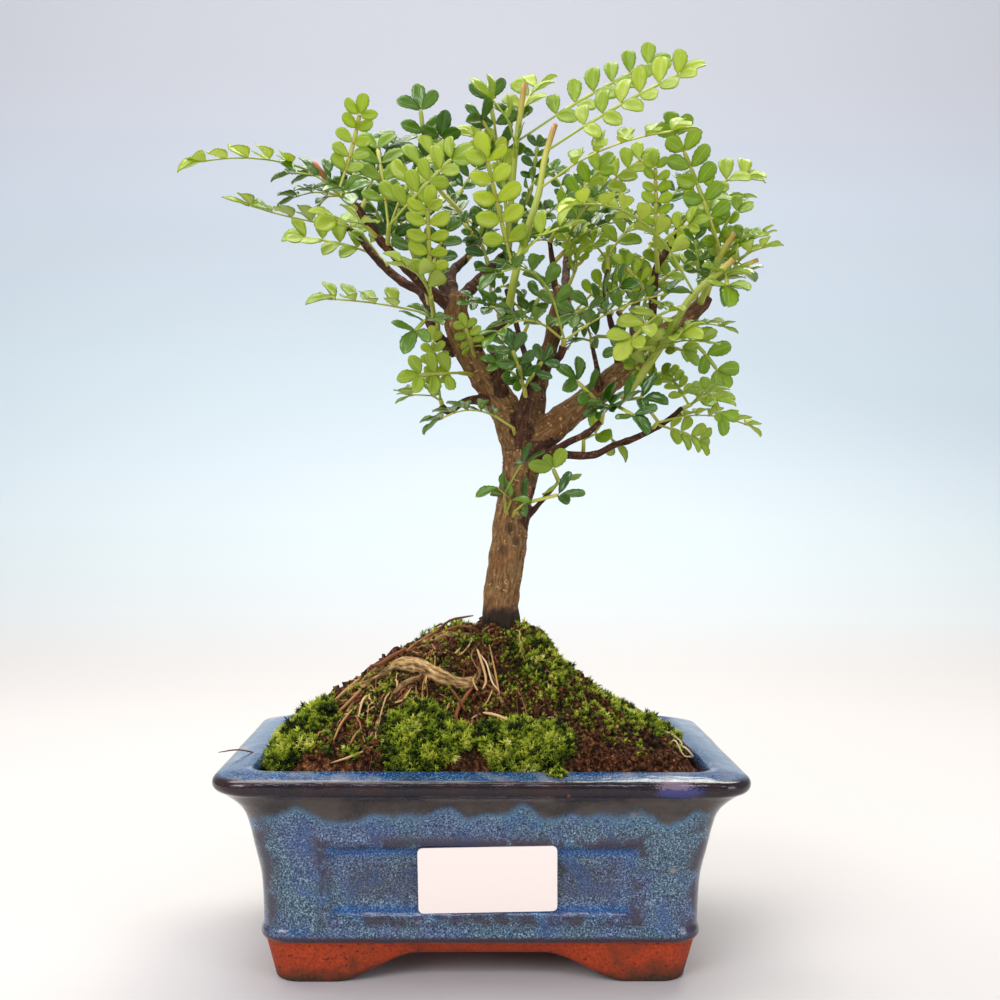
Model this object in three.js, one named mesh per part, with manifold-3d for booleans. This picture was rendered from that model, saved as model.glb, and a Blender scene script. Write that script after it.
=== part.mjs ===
// A Japanese pepper bonsai in its glazed pot, in millimetres with +Z up.
// x runs to the right along the pot, y away from the viewer. Every place is given from the middle of
// the pot's foot. The whole is moved at the end, so that the origin is the middle of the bottom of
// the box around it.

import * as THREE from 'three';
import { mergeVertices } from 'three/addons/utils/BufferGeometryUtils.js';
import Module from 'manifold-3d';

const wasm = await Module();
wasm.setup();

// Driving dimensions
const rimLength = 150;
const rimDepth = 108;
const potHeight = 63;
const clayHeight = 12.5;
const floorTop = 15;
const drainRadius = 6;
const drainPlace = 34;
const ridge = 0.6;
const sunk = 0.8;
const gap = 0.3;
const soilEdge = 59.5;
const trunkX = 6;
const bladeThickness = 0.6;
const stalkHalfWidth = 0.6;
const labelLength = 40;
const labelHeight = 20;
const labelThickness = 0.3;

const colours = {
  glaze: '#2f4a66', paper: '#f6ece4', peat: '#38231a', moss: '#6c9a20', bark: '#71583f',
  young: '#8db52c', mature: '#3c7a28',
};

// Half the length of the pot's outside at each height, less half the rim's length, and the panel's
// part in that row. The depth has the same steps.
const outside = [
  [0, -15, 'plain'], [clayHeight, -11.5, 'plain'], [13, -10.2, 'plain'],
  [15.6, -10.2, 'plain'], [16.6, -11, 'plain'], [18.6, -11.1, 'ridge'], [21.5, -11.1, 'sunk'],
  [31, -10.6, 'sunk'], [39.5, -8.9, 'sunk'], [42.5, -8.3, 'ridge'], [44.5, -7.9, 'plain'],
  [52, -5.6, 'plain'], [57.6, -1.5, 'plain'], [59.8, 0, 'plain'],
  [61.8, -0.6, 'plain'], [potHeight, -3.5, 'plain'],
];
const inside = [[floorTop, -17.5], [20, -15.4], [58, -9.8], [61.8, -8.6], [potHeight, -6.8], [65, -4]];

// The mound's height from the trunk (0) to the pot's wall (1), on each side
const leftSlope = [[0, 100], [0.2, 98.5], [0.37, 93], [0.58, 84], [0.78, 74], [0.94, 66], [1, soilEdge]];
const rightSlope = [
  [0, 101], [0.14, 99.5], [0.24, 94], [0.34, 87], [0.47, 79], [0.63, 72], [0.8, 68], [0.94, 65],
  [1, soilEdge],
];

// Moss clumps: the middle, half sizes across and away, and thickness
const mossClumps = [
  { name: 'moss_left', x: -57, y: -22, halfX: 12, halfY: 15, thick: 5 },
  { name: 'moss_front_left', x: -17, y: -35, halfX: 14, halfY: 8, thick: 4.5 },
  { name: 'moss_front', x: 13, y: -36, halfX: 15, halfY: 9, thick: 4.5 },
  { name: 'moss_slope', x: 20, y: -12, halfX: 8, halfY: 13, thick: 3 },
  { name: 'moss_right', x: 46, y: -4, halfX: 15, halfY: 9, thick: 3.5 },
  { name: 'moss_crest', x: -13, y: 7, halfX: 11, halfY: 6, thick: 3 },
  { name: 'moss_back', x: -8, y: 29, halfX: 26, halfY: 10, thick: 4 },
];

// The trunk, from its foot in the soil to the fork: x, y, z and radius
const trunk = [
  [6, 0, 88, 7], [6, 0, 96, 6.9], [5.9, 0, 101, 6.1], [5.8, 0, 106, 5.8], [6.4, 0, 113, 5.7],
  [7.8, 0, 123, 5.7], [8.8, 0, 132, 5.8], [10, 0, 141, 5.8], [11.8, 0, 149, 6], [12.6, 0, 156, 6.9],
  [12, 0, 162, 6.6], [11.5, 0, 166, 4.5],
];

// Roots that lie on the mound: x, y and how far the middle stands above the soil, with a radius
const roots = [
  [[4, -3, -3, 3], [-1, -12, -1, 2.4], [-3, -21, 0.3, 2.2], [-12, -23, 0.6, 2.4], [-20, -18, 0.8, 2.5],
    [-28, -13, 0.4, 1.6]],
  [[2, -3, -2, 2], [-8, -4, 0, 1.3], [-18, -3, 0.8, 1.1], [-27, -4, 0.8, 1], [-35, -5, 0.6, 1],
    [-41, -7, 0.2, 0.9]],
  [[-9, -8, -0.5, 1.2], [-17, -14, 0.5, 1.1], [-28, -15, 0.6, 1], [-35, -17, 0.5, 1],
    [-42, -24, 0.2, 0.8]],
  [[3, -4, -2, 1.8], [-5, -8, 0.2, 1.2], [-13, -9, 0.6, 1.1], [-21, -17, 0.3, 1]],
  [[-18, -20, -0.5, 1.2], [-25, -24, 0.4, 0.9], [-30, -29, 0.4, 0.8], [-33, -35, 0.2, 0.7]],
  [[5, -4, -2, 1.8], [1, -12, 0.6, 1.1], [3, -19, 0.6, 1], [6, -26, 0.2, 0.8]],
  [[9, 2, -2, 2.2], [14, 12, 0.2, 1.6], [18, 22, 0.2, 1.2], [20, 31, 0, 0.9]],
  [[3, 3, -2, 2.2], [-8, 12, 0.2, 1.5], [-20, 17, 0.3, 1.2], [-30, 26, 0, 0.9]],
];

// Limbs and twigs: the path is x, y, z and radius, from inside the limb that carries it
const limbs = [
  { sides: 8, steps: 6, path: [[11, 0, 158, 5.6], [8, -1, 167, 5.3], [2, -3, 177, 4.8],
    [-5, -5, 187, 4.3], [-9, -6, 197, 4.2], [-9, -6, 205, 3.3]] },
  { sides: 5, steps: 3, path: [[-9, -5, 203, 2.3], [-5, -1, 208, 1.9], [3, 5, 217, 1.6],
    [8, 9, 223, 1.2]] },
  { sides: 5, steps: 3, path: [[-10, -4, 203, 2.2], [-11, 6, 214, 1.7], [-6, 14, 221, 1.3],
    [-2, 19, 227, 1.1]] },
  { sides: 5, steps: 5, path: [[-10, -6, 201, 2.2], [-16, -7, 205, 1.8], [-23, -9, 211, 1.6],
    [-27, -10, 215, 1.5], [-32, -11, 220, 1.4], [-36, -13, 225, 1.4], [-41, -14, 232, 1.2]] },
  { sides: 5, steps: 7, path: [[-9, -4, 187, 2.2], [-14, -4, 191, 1.8], [-17, -2, 196, 1.7],
    [-18, 1, 202, 1.6], [-21, 5, 208, 1.6], [-26, 8, 211, 1.5], [-31, 11, 215, 1.4],
    [-36, 13, 220, 1.3], [-41, 15, 226, 1.2], [-47, 17, 232, 1.0]] },
  { sides: 5, steps: 3, path: [[0, -5, 172, 1.9], [-5, -5, 172, 1.3], [-9, -5, 170, 1.2],
    [-11, -5, 168, 1.1], [-14, -6, 170, 1.3]] },
  { sides: 5, steps: 2, path: [[5, -6, 175, 2.3], [5, -9, 181, 1.9], [3, -10, 187, 1.7]] },
  { sides: 5, steps: 3, path: [[-4, -5, 187, 2.2], [-1, -8, 191, 1.8], [4, -11, 194, 1.7],
    [7, -13, 199, 1.5]] },
  { sides: 5, steps: 4, path: [[12, -5, 159, 2.4], [12, -9, 168, 1.9], [14, -12, 176, 1.6],
    [19, -15, 182, 1.5], [23, -17, 185, 1.4], [24, -18, 188, 1.2]] },
  { sides: 7, steps: 4, path: [[15, 1, 160, 3.4], [17, 2, 169, 2.7], [18, 3, 177, 2.4],
    [20, 4, 186, 2.5], [22, 4, 193, 2.6], [24, 4, 202, 2.9], [26, 4, 209, 3.3]] },
  { sides: 8, steps: 7, path: [[14, 0, 158, 5.8], [21, 0, 163, 5.0], [27, 1, 168, 4.5],
    [35, 2, 174, 4.2], [43, 3, 181, 3.9], [50, 4, 187, 3.5], [57, 5, 194, 3.3], [65, 6, 200, 2.8],
    [71, 6, 205, 2.4], [73, 6, 208, 2.0]] },
  { sides: 5, steps: 5, path: [[56, 5, 191, 1.8], [55, 5, 197, 1.5], [55, 5, 205, 1.4],
    [56, 4, 217, 1.2], [59, 4, 222, 1.2], [61, 4, 226, 1.1], [63, 4, 230, 1.0]] },
  { sides: 4, steps: 3, path: [[44, 3, 184, 1.6], [42, 2, 194, 1.1], [40, 1, 201, 1.0],
    [39, 3, 210, 0.9], [40, 4, 216, 0.8]] },
  { sides: 4, steps: 2, path: [[37, 0, 175, 1.3], [36, -4, 182, 0.9], [34, -6, 190, 0.7]] },
  { sides: 4, steps: 3, path: [[25, 4, 207, 1.6], [23, 5, 210, 1.2], [22, 6, 218, 1.0],
    [21, 7, 226, 0.8]] },
  { sides: 4, steps: 3, path: [[18, 3, 175, 1.5], [13, 6, 189, 1.0], [9, 8, 203, 0.9],
    [7, 9, 210, 0.8]] },
  { sides: 5, steps: 6, path: [[17, 0, 154, 1.9], [24, -3, 155, 1.4], [35, -6, 155, 1.2],
    [41, -7, 158, 1.1], [47, -8, 160, 1.1], [53, -9, 163, 1.0], [59, -11, 167, 0.9],
    [62, -12, 170, 0.8]] },
  { sides: 5, steps: 3, path: [[16, -2, 154, 2.0], [22, -5, 156, 1.4], [27, -7, 159, 1.2],
    [33, -8, 162, 1.1], [37, -9, 166, 0.9]] },
  { sides: 4, steps: 2, path: [[11, 0, 131, 1.2], [16, -1, 137, 0.9], [23, -1, 145, 0.7]] },
  { sides: 5, steps: 3, path: [[-6, -4, 191, 2.4], [-11, 16, 204, 1.8], [-15, 24, 215, 1.5],
    [-18, 31, 224, 1.2]] },
  { sides: 4, steps: 2, path: [[-13, 20, 211, 1.6], [-14, 32, 223, 1.2], [-15, 38, 234, 1.0]] },
  { sides: 4, steps: 3, path: [[25, 6, 204, 2.2], [27, 16, 211, 1.6], [28, 26, 219, 1.4],
    [29, 34, 229, 1.1]] },
  { sides: 5, steps: 3, path: [[52, 8, 189, 2.4], [51, 20, 199, 1.8], [53, 30, 212, 1.5],
    [55, 36, 224, 1.1]] },
  { sides: 4, steps: 2, path: [[52, 22, 201, 1.5], [49, 32, 204, 1.1], [47, 36, 207, 0.9]] },
];

// Sprays: the stem's places and its radii at both ends. A leaf is where it grows along the stem,
// its tip's x, y and z, its arch, its pairs of leaflets, and how far its face turns from up to the
// front, in degrees.
const sprays = [
  { name: 'left_cut', tone: 'young', radii: [1.0, 0.9],
    stem: [[-41, -14, 232], [-45, -16, 234], [-49, -19, 238], [-53, -20, 243]],
    leaves: [[0.85, -92, -30, 238, 5, 5, 10], [0.35, -32, -24, 263, -3, 5, 85]] },
  { name: 'left_tip', tone: 'mature', radii: [0.8, 0.6],
    stem: [[-40, -14, 230], [-45, -20, 233]],
    leaves: [[1, -61, -28, 237, 3, 3, 30], [0.8, -40, -44, 226, 3, 2, 60],
      [0.9, -61, -16, 232, 2, 3, 20]] },
  { name: 'left_bow', tone: 'young', radii: [0.8, 0.6],
    stem: [[-34, -12, 222], [-37, -17, 224]],
    leaves: [[1, -79, -26, 231, -2, 5, 10], [0.8, -47, -36, 221, 2, 2, 50]] },
  { name: 'left_behind', tone: 'young', radii: [0.8, 0.6],
    stem: [[-32, 11, 217], [-35, 14, 221]],
    leaves: [[1, -66, 18, 228, 2, 4, 55], [0.8, -53, 34, 237, 3, 4, 30]] },
  { name: 'left_low', tone: 'young', radii: [0.7, 0.6],
    stem: [[-17, -3, 199], [-21, -5, 200]],
    leaves: [[1, -54, -10, 203, 1, 4, 60]] },
  { name: 'limb_a_front', tone: 'young', radii: [0.8, 0.7],
    stem: [[-31, -10, 219], [-30, -19, 224]],
    leaves: [[1, -6, -24, 248, 2, 5, 80], [0.8, -14, -6, 252, 6, 4, 50], [0.9, -36, 0, 257, 3, 4, 30]] },
  { name: 'limb_a_top', tone: 'mature', radii: [0.8, 0.6],
    stem: [[-39, -13, 230], [-37, -8, 238]],
    leaves: [[1, -28, 12, 259, 3, 4, 30]] },
  { name: 'center_left', tone: 'young', radii: [0.8, 0.7],
    stem: [[-16, -9, 197], [-17, -18, 203]],
    leaves: [[1, -18, -34, 232, -2, 5, 85], [0.8, -27, -30, 210, 3, 3, 20]] },
  { name: 'center_dark', tone: 'mature', radii: [0.8, 0.7],
    stem: [[-18, -2, 203], [-19, -8, 207]],
    leaves: [[1, -31, -2, 238, 2, 5, 75], [0.8, -11, -6, 229, 3, 4, 60]] },
  { name: 'back_fork', tone: 'mature', radii: [0.9, 0.7],
    stem: [[-3, 18, 225], [-2, 18, 231]],
    leaves: [[1, -18, 30, 243, 2, 4, 40], [0.8, 8, 14, 246, 3, 4, 60]] },
  { name: 'top_left', tone: 'mature', radii: [0.9, 0.7],
    stem: [[-4, 17, 223], [-7, 14, 234], [-14, 10, 241], [-19, 6, 246]],
    leaves: [[1, -22, 2, 272, 2, 3, 80], [0.85, -12, -8, 265, 2, 4, 70]] },
  { name: 'cut_two', tone: 'young', radii: [1.1, 0.9],
    stem: [[7, 9, 221], [8, 4, 235], [9, 0, 250], [10, -1, 259], [12, -2, 274]],
    leaves: [[0.66, 64, 12, 290, 3, 6, 60], [0.55, -3, -16, 268, 4, 3, 45],
      [0.78, 18, 16, 280, 2, 3, 10], [0.42, -7, 2, 260, 3, 4, 60]] },
  { name: 'cut_one', tone: 'young', radii: [1.3, 0.9],
    stem: [[7, -13, 199], [9, -20, 210], [13, -20, 225], [16, -18, 235], [18, -16, 247],
      [21, -16, 257]],
    leaves: [[0.2, -8, -40, 248, -2, 6, 88], [0.66, 66, -30, 252, 5, 5, 30],
      [0.86, 68, -24, 275, 2, 6, 55], [0.27, 26, -28, 223, 3, 3, 40]] },
  { name: 'short_branch', tone: 'mature', radii: [0.8, 0.7],
    stem: [[5, -10, 194], [4, -16, 198]],
    leaves: [[1, -6, -24, 200, 2, 3, 50], [0.8, 0, -30, 197, 2, 3, 60]] },
  { name: 'red_branch', tone: 'mature', radii: [1.0, 0.8],
    stem: [[24, -17, 187], [24, -20, 190]],
    leaves: [[1, -2, -44, 202, 13, 5, 0], [0.8, 60, -42, 202, 3, 6, 10], [0.8, 0, -40, 185, 7, 5, 0]] },
  { name: 'fork_front', tone: 'mature', radii: [0.8, 0.7],
    stem: [[13, -11, 172], [12, -15, 176]],
    leaves: [[1, 7, -22, 189, 2, 3, 80], [0.8, 19, -20, 185, 2, 3, 80], [0.8, 2, -20, 183, 2, 3, 60]] },
  { name: 'fork_behind', tone: 'mature', radii: [0.8, 0.7],
    stem: [[4, -1, 175], [8, 8, 180]],
    leaves: [[1, 6, 12, 194, 2, 3, 85]] },
  { name: 'stub_low', tone: 'young', radii: [0.8, 0.7],
    stem: [[-13, -4, 169], [-14, -8, 172]],
    leaves: [[1, -17, -12, 194, 1, 5, 88], [0.8, -25, -9, 172, 2, 2, 10]] },
  { name: 'limb_left_side', tone: 'young', radii: [0.7, 0.6],
    stem: [[-4, -7, 180], [-8, -12, 180]],
    leaves: [[1, -23, -20, 178, 1, 3, 85]] },
  { name: 'limb_left_dark', tone: 'mature', radii: [0.8, 0.7],
    stem: [[-15, -4, 194], [-15, -10, 197]],
    leaves: [[1, -23, -28, 188, 3, 3, 50]] },
  { name: 'limb_left_young', tone: 'young', radii: [0.6, 0.5],
    stem: [[-3, -7, 185], [-4, -13, 187]],
    leaves: [[1, -7, -22, 195, 2, 4, 85]] },
  { name: 'fork_low', tone: 'mature', radii: [0.7, 0.6],
    stem: [[10, -5, 161], [9, -10, 163]],
    leaves: [[1, -18, -26, 161, 6, 5, 0]] },
  { name: 'trunk_left', tone: 'mature', radii: [0.7, 0.6],
    stem: [[8, -3, 135], [7, -8, 137]],
    leaves: [[1, 15, -22, 153, 4, 3, 30], [0.8, 1, -18, 143, 6, 2, 40]] },
  { name: 'trunk_right', tone: 'mature', radii: [0.7, 0.6],
    stem: [[9, -3, 134], [10, -8, 137]],
    leaves: [[1, 27, -18, 142, 3, 3, 55]] },
  { name: 'twig_trunk', tone: 'young', radii: [0.6, 0.5],
    stem: [[22, -1, 144], [24, -1, 146]],
    leaves: [[1, 21, -6, 152, 2, 2, 80]] },
  { name: 'low_tip', tone: 'young', radii: [0.8, 0.6],
    stem: [[61, -11, 169], [65, -12, 171]],
    leaves: [[1, 72, -26, 163, 7, 4, 20], [0.8, 76, -4, 175, 2, 3, 60], [0.8, 58, -4, 182, 1, 4, 80]] },
  { name: 'low_right', tone: 'young', radii: [0.8, 0.6],
    stem: [[53, -8, 163], [54, -13, 165]],
    leaves: [[1, 89, -8, 162, 4, 6, 5], [0.8, 72, -2, 159, 1, 4, 75]] },
  { name: 'low_inner', tone: 'mature', radii: [0.8, 0.7],
    stem: [[37, -8, 165], [37, -13, 168]],
    leaves: [[1, 25, -22, 179, 2, 3, 70], [0.8, 46, -38, 163, 4, 3, 60], [0.8, 51, -32, 171, 3, 3, 60]] },
  { name: 'low_hang', tone: 'young', radii: [0.7, 0.6],
    stem: [[32, -1, 155], [32, -2, 160]],
    leaves: [[1, 42, 6, 158, 5, 2, 50]] },
  { name: 'cut_right', tone: 'young', radii: [1.3, 1.0],
    stem: [[44, -7, 173], [49, -14, 180], [58, -16, 194], [63, -18, 203], [76, -20, 215]],
    leaves: [[0.72, 17, -48, 223, 12, 6, 0], [0.3, 61, -34, 190, 3, 3, 50],
      [0.1, 69, -32, 187, 7, 5, 10], [0.62, 40, -34, 184, 4, 4, 30]] },
  { name: 'far_right', tone: 'young', radii: [0.8, 0.7],
    stem: [[71, -1, 210], [76, -6, 213], [81, -9, 215], [86, -10, 217]],
    leaves: [[0.55, 89, -16, 220, 2, 3, 10], [0.35, 73, -26, 203, 3, 3, 60]] },
  { name: 'cut_upper', tone: 'young', radii: [1.1, 0.9],
    stem: [[70, 2, 205], [72, -6, 212], [75, -10, 220], [78, -12, 225]],
    leaves: [[0.72, 56, -10, 264, 3, 6, 85], [0.5, 92, 2, 228, 2, 4, 10]] },
  { name: 'twig_top', tone: 'young', radii: [0.8, 0.6],
    stem: [[63, 5, 229], [64, 1, 231]],
    leaves: [[1, 88, -2, 245, 7, 4, 50], [0.8, 87, 16, 241, 4, 4, 20]] },
  { name: 'upright', tone: 'young', radii: [0.8, 0.7],
    stem: [[56, 2, 215], [54, -7, 221]],
    leaves: [[1, 52, -16, 250, 1, 6, 88], [0.8, 66, -20, 227, 3, 4, 70]] },
  { name: 'middle_top', tone: 'young', radii: [0.8, 0.7],
    stem: [[21, 6, 225], [24, 2, 230]],
    leaves: [[1, 39, -6, 249, 2, 4, 70], [0.8, 57, 8, 257, 2, 6, 60]] },
  { name: 'middle_dark', tone: 'mature', radii: [0.8, 0.7],
    stem: [[22, 7, 218], [26, 5, 222]],
    leaves: [[1, 36, -26, 234, 3, 4, 40], [0.8, 50, -6, 229, 4, 4, 20]] },
  { name: 'stub_side', tone: 'young', radii: [0.8, 0.6],
    stem: [[25, 4, 200], [30, 8, 203]],
    leaves: [[1, 51, 12, 222, 2, 5, 60]] },
  { name: 'twig_two', tone: 'mature', radii: [0.8, 0.6],
    stem: [[41, 2, 201], [38, -6, 203]],
    leaves: [[1, 43, -24, 206, 2, 3, 75], [0.8, 25, -13, 197, 3, 3, 70]] },
  { name: 'twig_two_top', tone: 'young', radii: [0.8, 0.6],
    stem: [[40, 4, 215], [40, 6, 220]],
    leaves: [[1, 54, 24, 237, 3, 4, 50], [0.8, 28, 18, 231, 3, 4, 50]] },
  { name: 'twig_one_low', tone: 'young', radii: [0.8, 0.6],
    stem: [[55, 4, 205], [53, 7, 208]],
    leaves: [[1, 40, 16, 210, 2, 4, 70], [0.8, 42, -6, 217, 2, 4, 80], [0.9, 69, 12, 220, 3, 4, 60]] },
  { name: 'limb_end', tone: 'mature', radii: [0.8, 0.7],
    stem: [[70, 5, 205], [74, 8, 211]],
    leaves: [[1, 75, -14, 205, 3, 3, 60], [0.8, 76, 38, 230, 4, 4, 50], [0.8, 90, 22, 218, 3, 3, 20]] },
  { name: 'limb_under', tone: 'mature', radii: [0.7, 0.6],
    stem: [[54, -1, 191], [51, -8, 186]],
    leaves: [[1, 40, -12, 187, 3, 3, 50]] },
  { name: 'limb_right', tone: 'young', radii: [0.8, 0.6],
    stem: [[60, 6, 195], [66, 10, 197]],
    leaves: [[1, 81, 12, 198, 2, 3, 10], [0.8, 79, 10, 181, 3, 3, 70]] },
  { name: 'behind_left', tone: 'mature', radii: [0.9, 0.7],
    stem: [[-17, 30, 223], [-23, 36, 232]],
    leaves: [[1, -47, 48, 257, 4, 5, 30], [0.8, -30, 36, 263, 3, 4, 50], [0.8, -40, 54, 237, 4, 4, 20]] },
  { name: 'behind_mid_left', tone: 'mature', radii: [0.9, 0.7],
    stem: [[-15, 38, 233], [-12, 44, 243]],
    leaves: [[1, -19, 50, 271, 3, 5, -40], [0.8, 3, 42, 265, 3, 5, 50]] },
  { name: 'behind_mid', tone: 'mature', radii: [0.9, 0.7],
    stem: [[29, 34, 229], [31, 40, 239]],
    leaves: [[1, 21, 42, 261, 3, 5, 40], [0.8, 44, 58, 260, 4, 5, -20]] },
  { name: 'behind_right', tone: 'mature', radii: [0.9, 0.7],
    stem: [[55, 36, 224], [60, 42, 233]],
    leaves: [[1, 74, 42, 258, 3, 5, 30], [0.8, 80, 56, 241, 4, 4, -20]] },
  { name: 'behind_low', tone: 'mature', radii: [0.8, 0.6],
    stem: [[48, 36, 207], [52, 42, 211]],
    leaves: [[1, 66, 58, 223, 3, 4, 10]] },
];

function mixed(table, place) {
  const next = Math.max(1, table.findIndex(([at]) => place <= at));
  const [from, low] = table[next - 1];
  const [to, high] = table[next];
  return THREE.MathUtils.mapLinear(place, from, to, low, high);
}

// Height of the soil's top above the floor
function moundHeight(x, y) {
  const across = x - trunkX;
  const reachX = rimLength / 2 - 10.2 - Math.sign(across) * trunkX;
  const reachY = rimDepth / 2 - 10.2;
  const place = Math.min(1, ((Math.abs(across) / reachX) ** 4 + (Math.abs(y) / reachY) ** 4) ** 0.25);
  const right = (1 + across / Math.max(Math.hypot(across, y), 0.001)) / 2;
  const slope = mixed(leftSlope, place) * (1 - right) + mixed(rightSlope, place) * right;
  const lumps = Math.sin(0.31 * x + 1.3) * Math.sin(0.37 * y + 0.5) + 0.6 * Math.sin(0.19 * x - 0.52 * y);
  return slope + 4 * place * (1 - place) * 1.5 * lumps;
}

function solidOf(geometry) {
  geometry.deleteAttribute('normal');
  geometry.deleteAttribute('uv');
  const merged = mergeVertices(geometry, 0.0001);
  return new wasm.Manifold(new wasm.Mesh({
    numProp: 3,
    vertProperties: Float32Array.from(merged.attributes.position.array),
    triVerts: Uint32Array.from(merged.index.array),
  }));
}

function geometryOf(points, index) {
  const geometry = new THREE.BufferGeometry();
  const places = points.flatMap((p) => [p.x, p.y, p.z]);
  geometry.setAttribute('position', new THREE.Float32BufferAttribute(places, 3));
  geometry.setIndex(index);
  return geometry;
}

// A closed solid through rings of equal count, each counterclockwise as seen from the last ring
function loft(rings) {
  const count = rings[0].length;
  const last = (rings.length - 1) * count;
  const index = [];
  for (let row = 0; row < last; row += count) {
    for (let k = 0; k < count; k += 1) {
      const next = (k + 1) % count;
      index.push(row + k, row + next, row + next + count, row + k, row + next + count, row + k + count);
    }
  }
  for (let k = 1; k < count - 1; k += 1) {
    index.push(0, k + 1, k, last, last + k, last + k + 1);
  }
  return solidOf(geometryOf(rings.flat(), index));
}

// The body with the most volume, without the scraps that a cut leaves
function mainBody(solid) {
  return solid.decompose().reduce((best, body) => (body.volume() > best.volume() ? body : best));
}

function asMesh(name, solid, colour, roughness) {
  const { vertProperties, triVerts } = solid.getMesh();
  const geometry = new THREE.BufferGeometry();
  geometry.setAttribute('position', new THREE.BufferAttribute(vertProperties, 3));
  geometry.setIndex(new THREE.BufferAttribute(triVerts, 1));
  geometry.computeVertexNormals();
  const mesh = new THREE.Mesh(geometry, new THREE.MeshStandardMaterial({ color: colour, roughness }));
  mesh.name = name;
  return mesh;
}

// A rounded rectangle at a height, counterclockwise from above. The columns are parts of the half
// length, and relief gives how far each one stands out.
function wallRing(z, halfX, halfY, radius, columns, relief, arcSteps) {
  const ring = [];
  for (let side = 0; side < 4; side += 1) {
    const along = side % 2 ? halfY : halfX;
    const out = side % 2 ? halfX : halfY;
    const corner = new THREE.Vector2(along - radius, -(out - radius));
    const straight = [-1, ...columns, 1].map((part, k, all) => {
      const end = k === 0 || k === all.length - 1;
      return new THREE.Vector2(part * (end ? along - radius : along), -out - (end ? 0 : relief(part)));
    });
    const arc = Array.from({ length: arcSteps - 1 }, (_, k) => {
      const turn = -Math.PI / 2 + ((k + 1) / arcSteps) * (Math.PI / 2);
      return corner.clone().add(new THREE.Vector2(Math.cos(turn), Math.sin(turn)).multiplyScalar(radius));
    });
    [...straight, ...arc].forEach((p) => {
      p.rotateAround(new THREE.Vector2(), (side * Math.PI) / 2);
      ring.push(new THREE.Vector3(p.x, p.y, z));
    });
  }
  return ring;
}

// The span below the pot between two feet, as an outline across and up
function footArch(flat, top) {
  const arch = new THREE.Shape();
  const height = 8.6;
  arch.moveTo(-flat, -1);
  arch.lineTo(-flat, 0);
  arch.bezierCurveTo(-flat + (flat - top) * 0.6, 0, -flat + (flat - top) * 0.4, height, -top, height);
  arch.lineTo(top, height);
  arch.bezierCurveTo(flat - (flat - top) * 0.4, height, flat - (flat - top) * 0.6, 0, flat, 0);
  arch.lineTo(flat, -1);
  return arch;
}

function archCut(flat, top, length, turn) {
  const geometry = new THREE.ExtrudeGeometry(footArch(flat, top), {
    depth: length, bevelEnabled: false, curveSegments: 3,
  });
  geometry.translate(0, 0, -length / 2);
  geometry.rotateX(Math.PI / 2);
  geometry.rotateZ(turn);
  return solidOf(geometry);
}

function buildPot() {
  const columns = [-0.74, -0.715, -0.67, 0.67, 0.715, 0.74];
  const rings = outside.map(([z, step, kind]) => {
    const relief = (part) => {
      const columnKind = Math.abs(part) > 0.73 ? 'plain' : Math.abs(part) > 0.69 ? 'ridge' : 'sunk';
      if (kind === 'plain' || columnKind === 'plain') return 0;
      return kind === 'ridge' || columnKind === 'ridge' ? ridge : -sunk;
    };
    return wallRing(z, rimLength / 2 + step, rimDepth / 2 + step, 11 + step * 0.2, columns, relief, 3);
  });
  const hollow = inside.map(([z, step]) => (
    wallRing(z, rimLength / 2 + step, rimDepth / 2 + step, 9 + step * 0.2, [], null, 3)));
  const recess = new THREE.BoxGeometry(104, 62, 9.6);
  recess.translate(0, 0, 8.6 - 4.8);
  const drains = [-drainPlace, drainPlace].map((x) => {
    const drain = new THREE.CylinderGeometry(drainRadius, drainRadius, 20, 10);
    drain.rotateX(Math.PI / 2);
    drain.translate(x, 0, 12);
    return solidOf(drain);
  });
  return [
    loft(hollow), solidOf(recess), ...drains,
    archCut(43, 18, rimDepth, 0), archCut(26, 10, rimLength, Math.PI / 2),
  ].reduce((pot, cut) => pot.subtract(cut), loft(rings));
}

// A tapered limb along points of x, y, z and radius, a little fatter by extra
function limb(points, sides, steps, extra = 0) {
  const curve = new THREE.CatmullRomCurve3(
    points.map(([x, y, z]) => new THREE.Vector3(x, y, z)), false, 'centripetal');
  const frames = curve.computeFrenetFrames(steps, false);
  const rings = Array.from({ length: steps + 1 }, (_, row) => {
    const at = curve.getUtoTmapping(row / steps) * (points.length - 1);
    const from = Math.min(Math.floor(at), points.length - 2);
    const radius = THREE.MathUtils.lerp(points[from][3], points[from + 1][3], at - from) + extra;
    const reach = row === 0 ? -extra : row === steps ? extra : 0;
    const middle = curve.getPointAt(row / steps).addScaledVector(frames.tangents[row], reach);
    return Array.from({ length: sides }, (__, k) => {
      const turn = (k / sides) * 2 * Math.PI;
      return middle.clone()
        .addScaledVector(frames.normals[row], radius * Math.cos(turn))
        .addScaledVector(frames.binormals[row], radius * Math.sin(turn));
    });
  });
  return loft(rings);
}

function buildWood(extra) {
  const onMound = roots.map((root) => root.map(([x, y, lift, radius]) => (
    [x, y, moundHeight(x, y) + lift, radius])));
  return [
    ...limbs.map(({ sides, steps, path }) => limb(path, sides, steps, extra)),
    ...onMound.map((path) => limb(path, 5, path.length - 1, extra)),
  ].reduce((wood, branch) => wood.add(branch), limb(trunk, 10, 10, extra));
}

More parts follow.
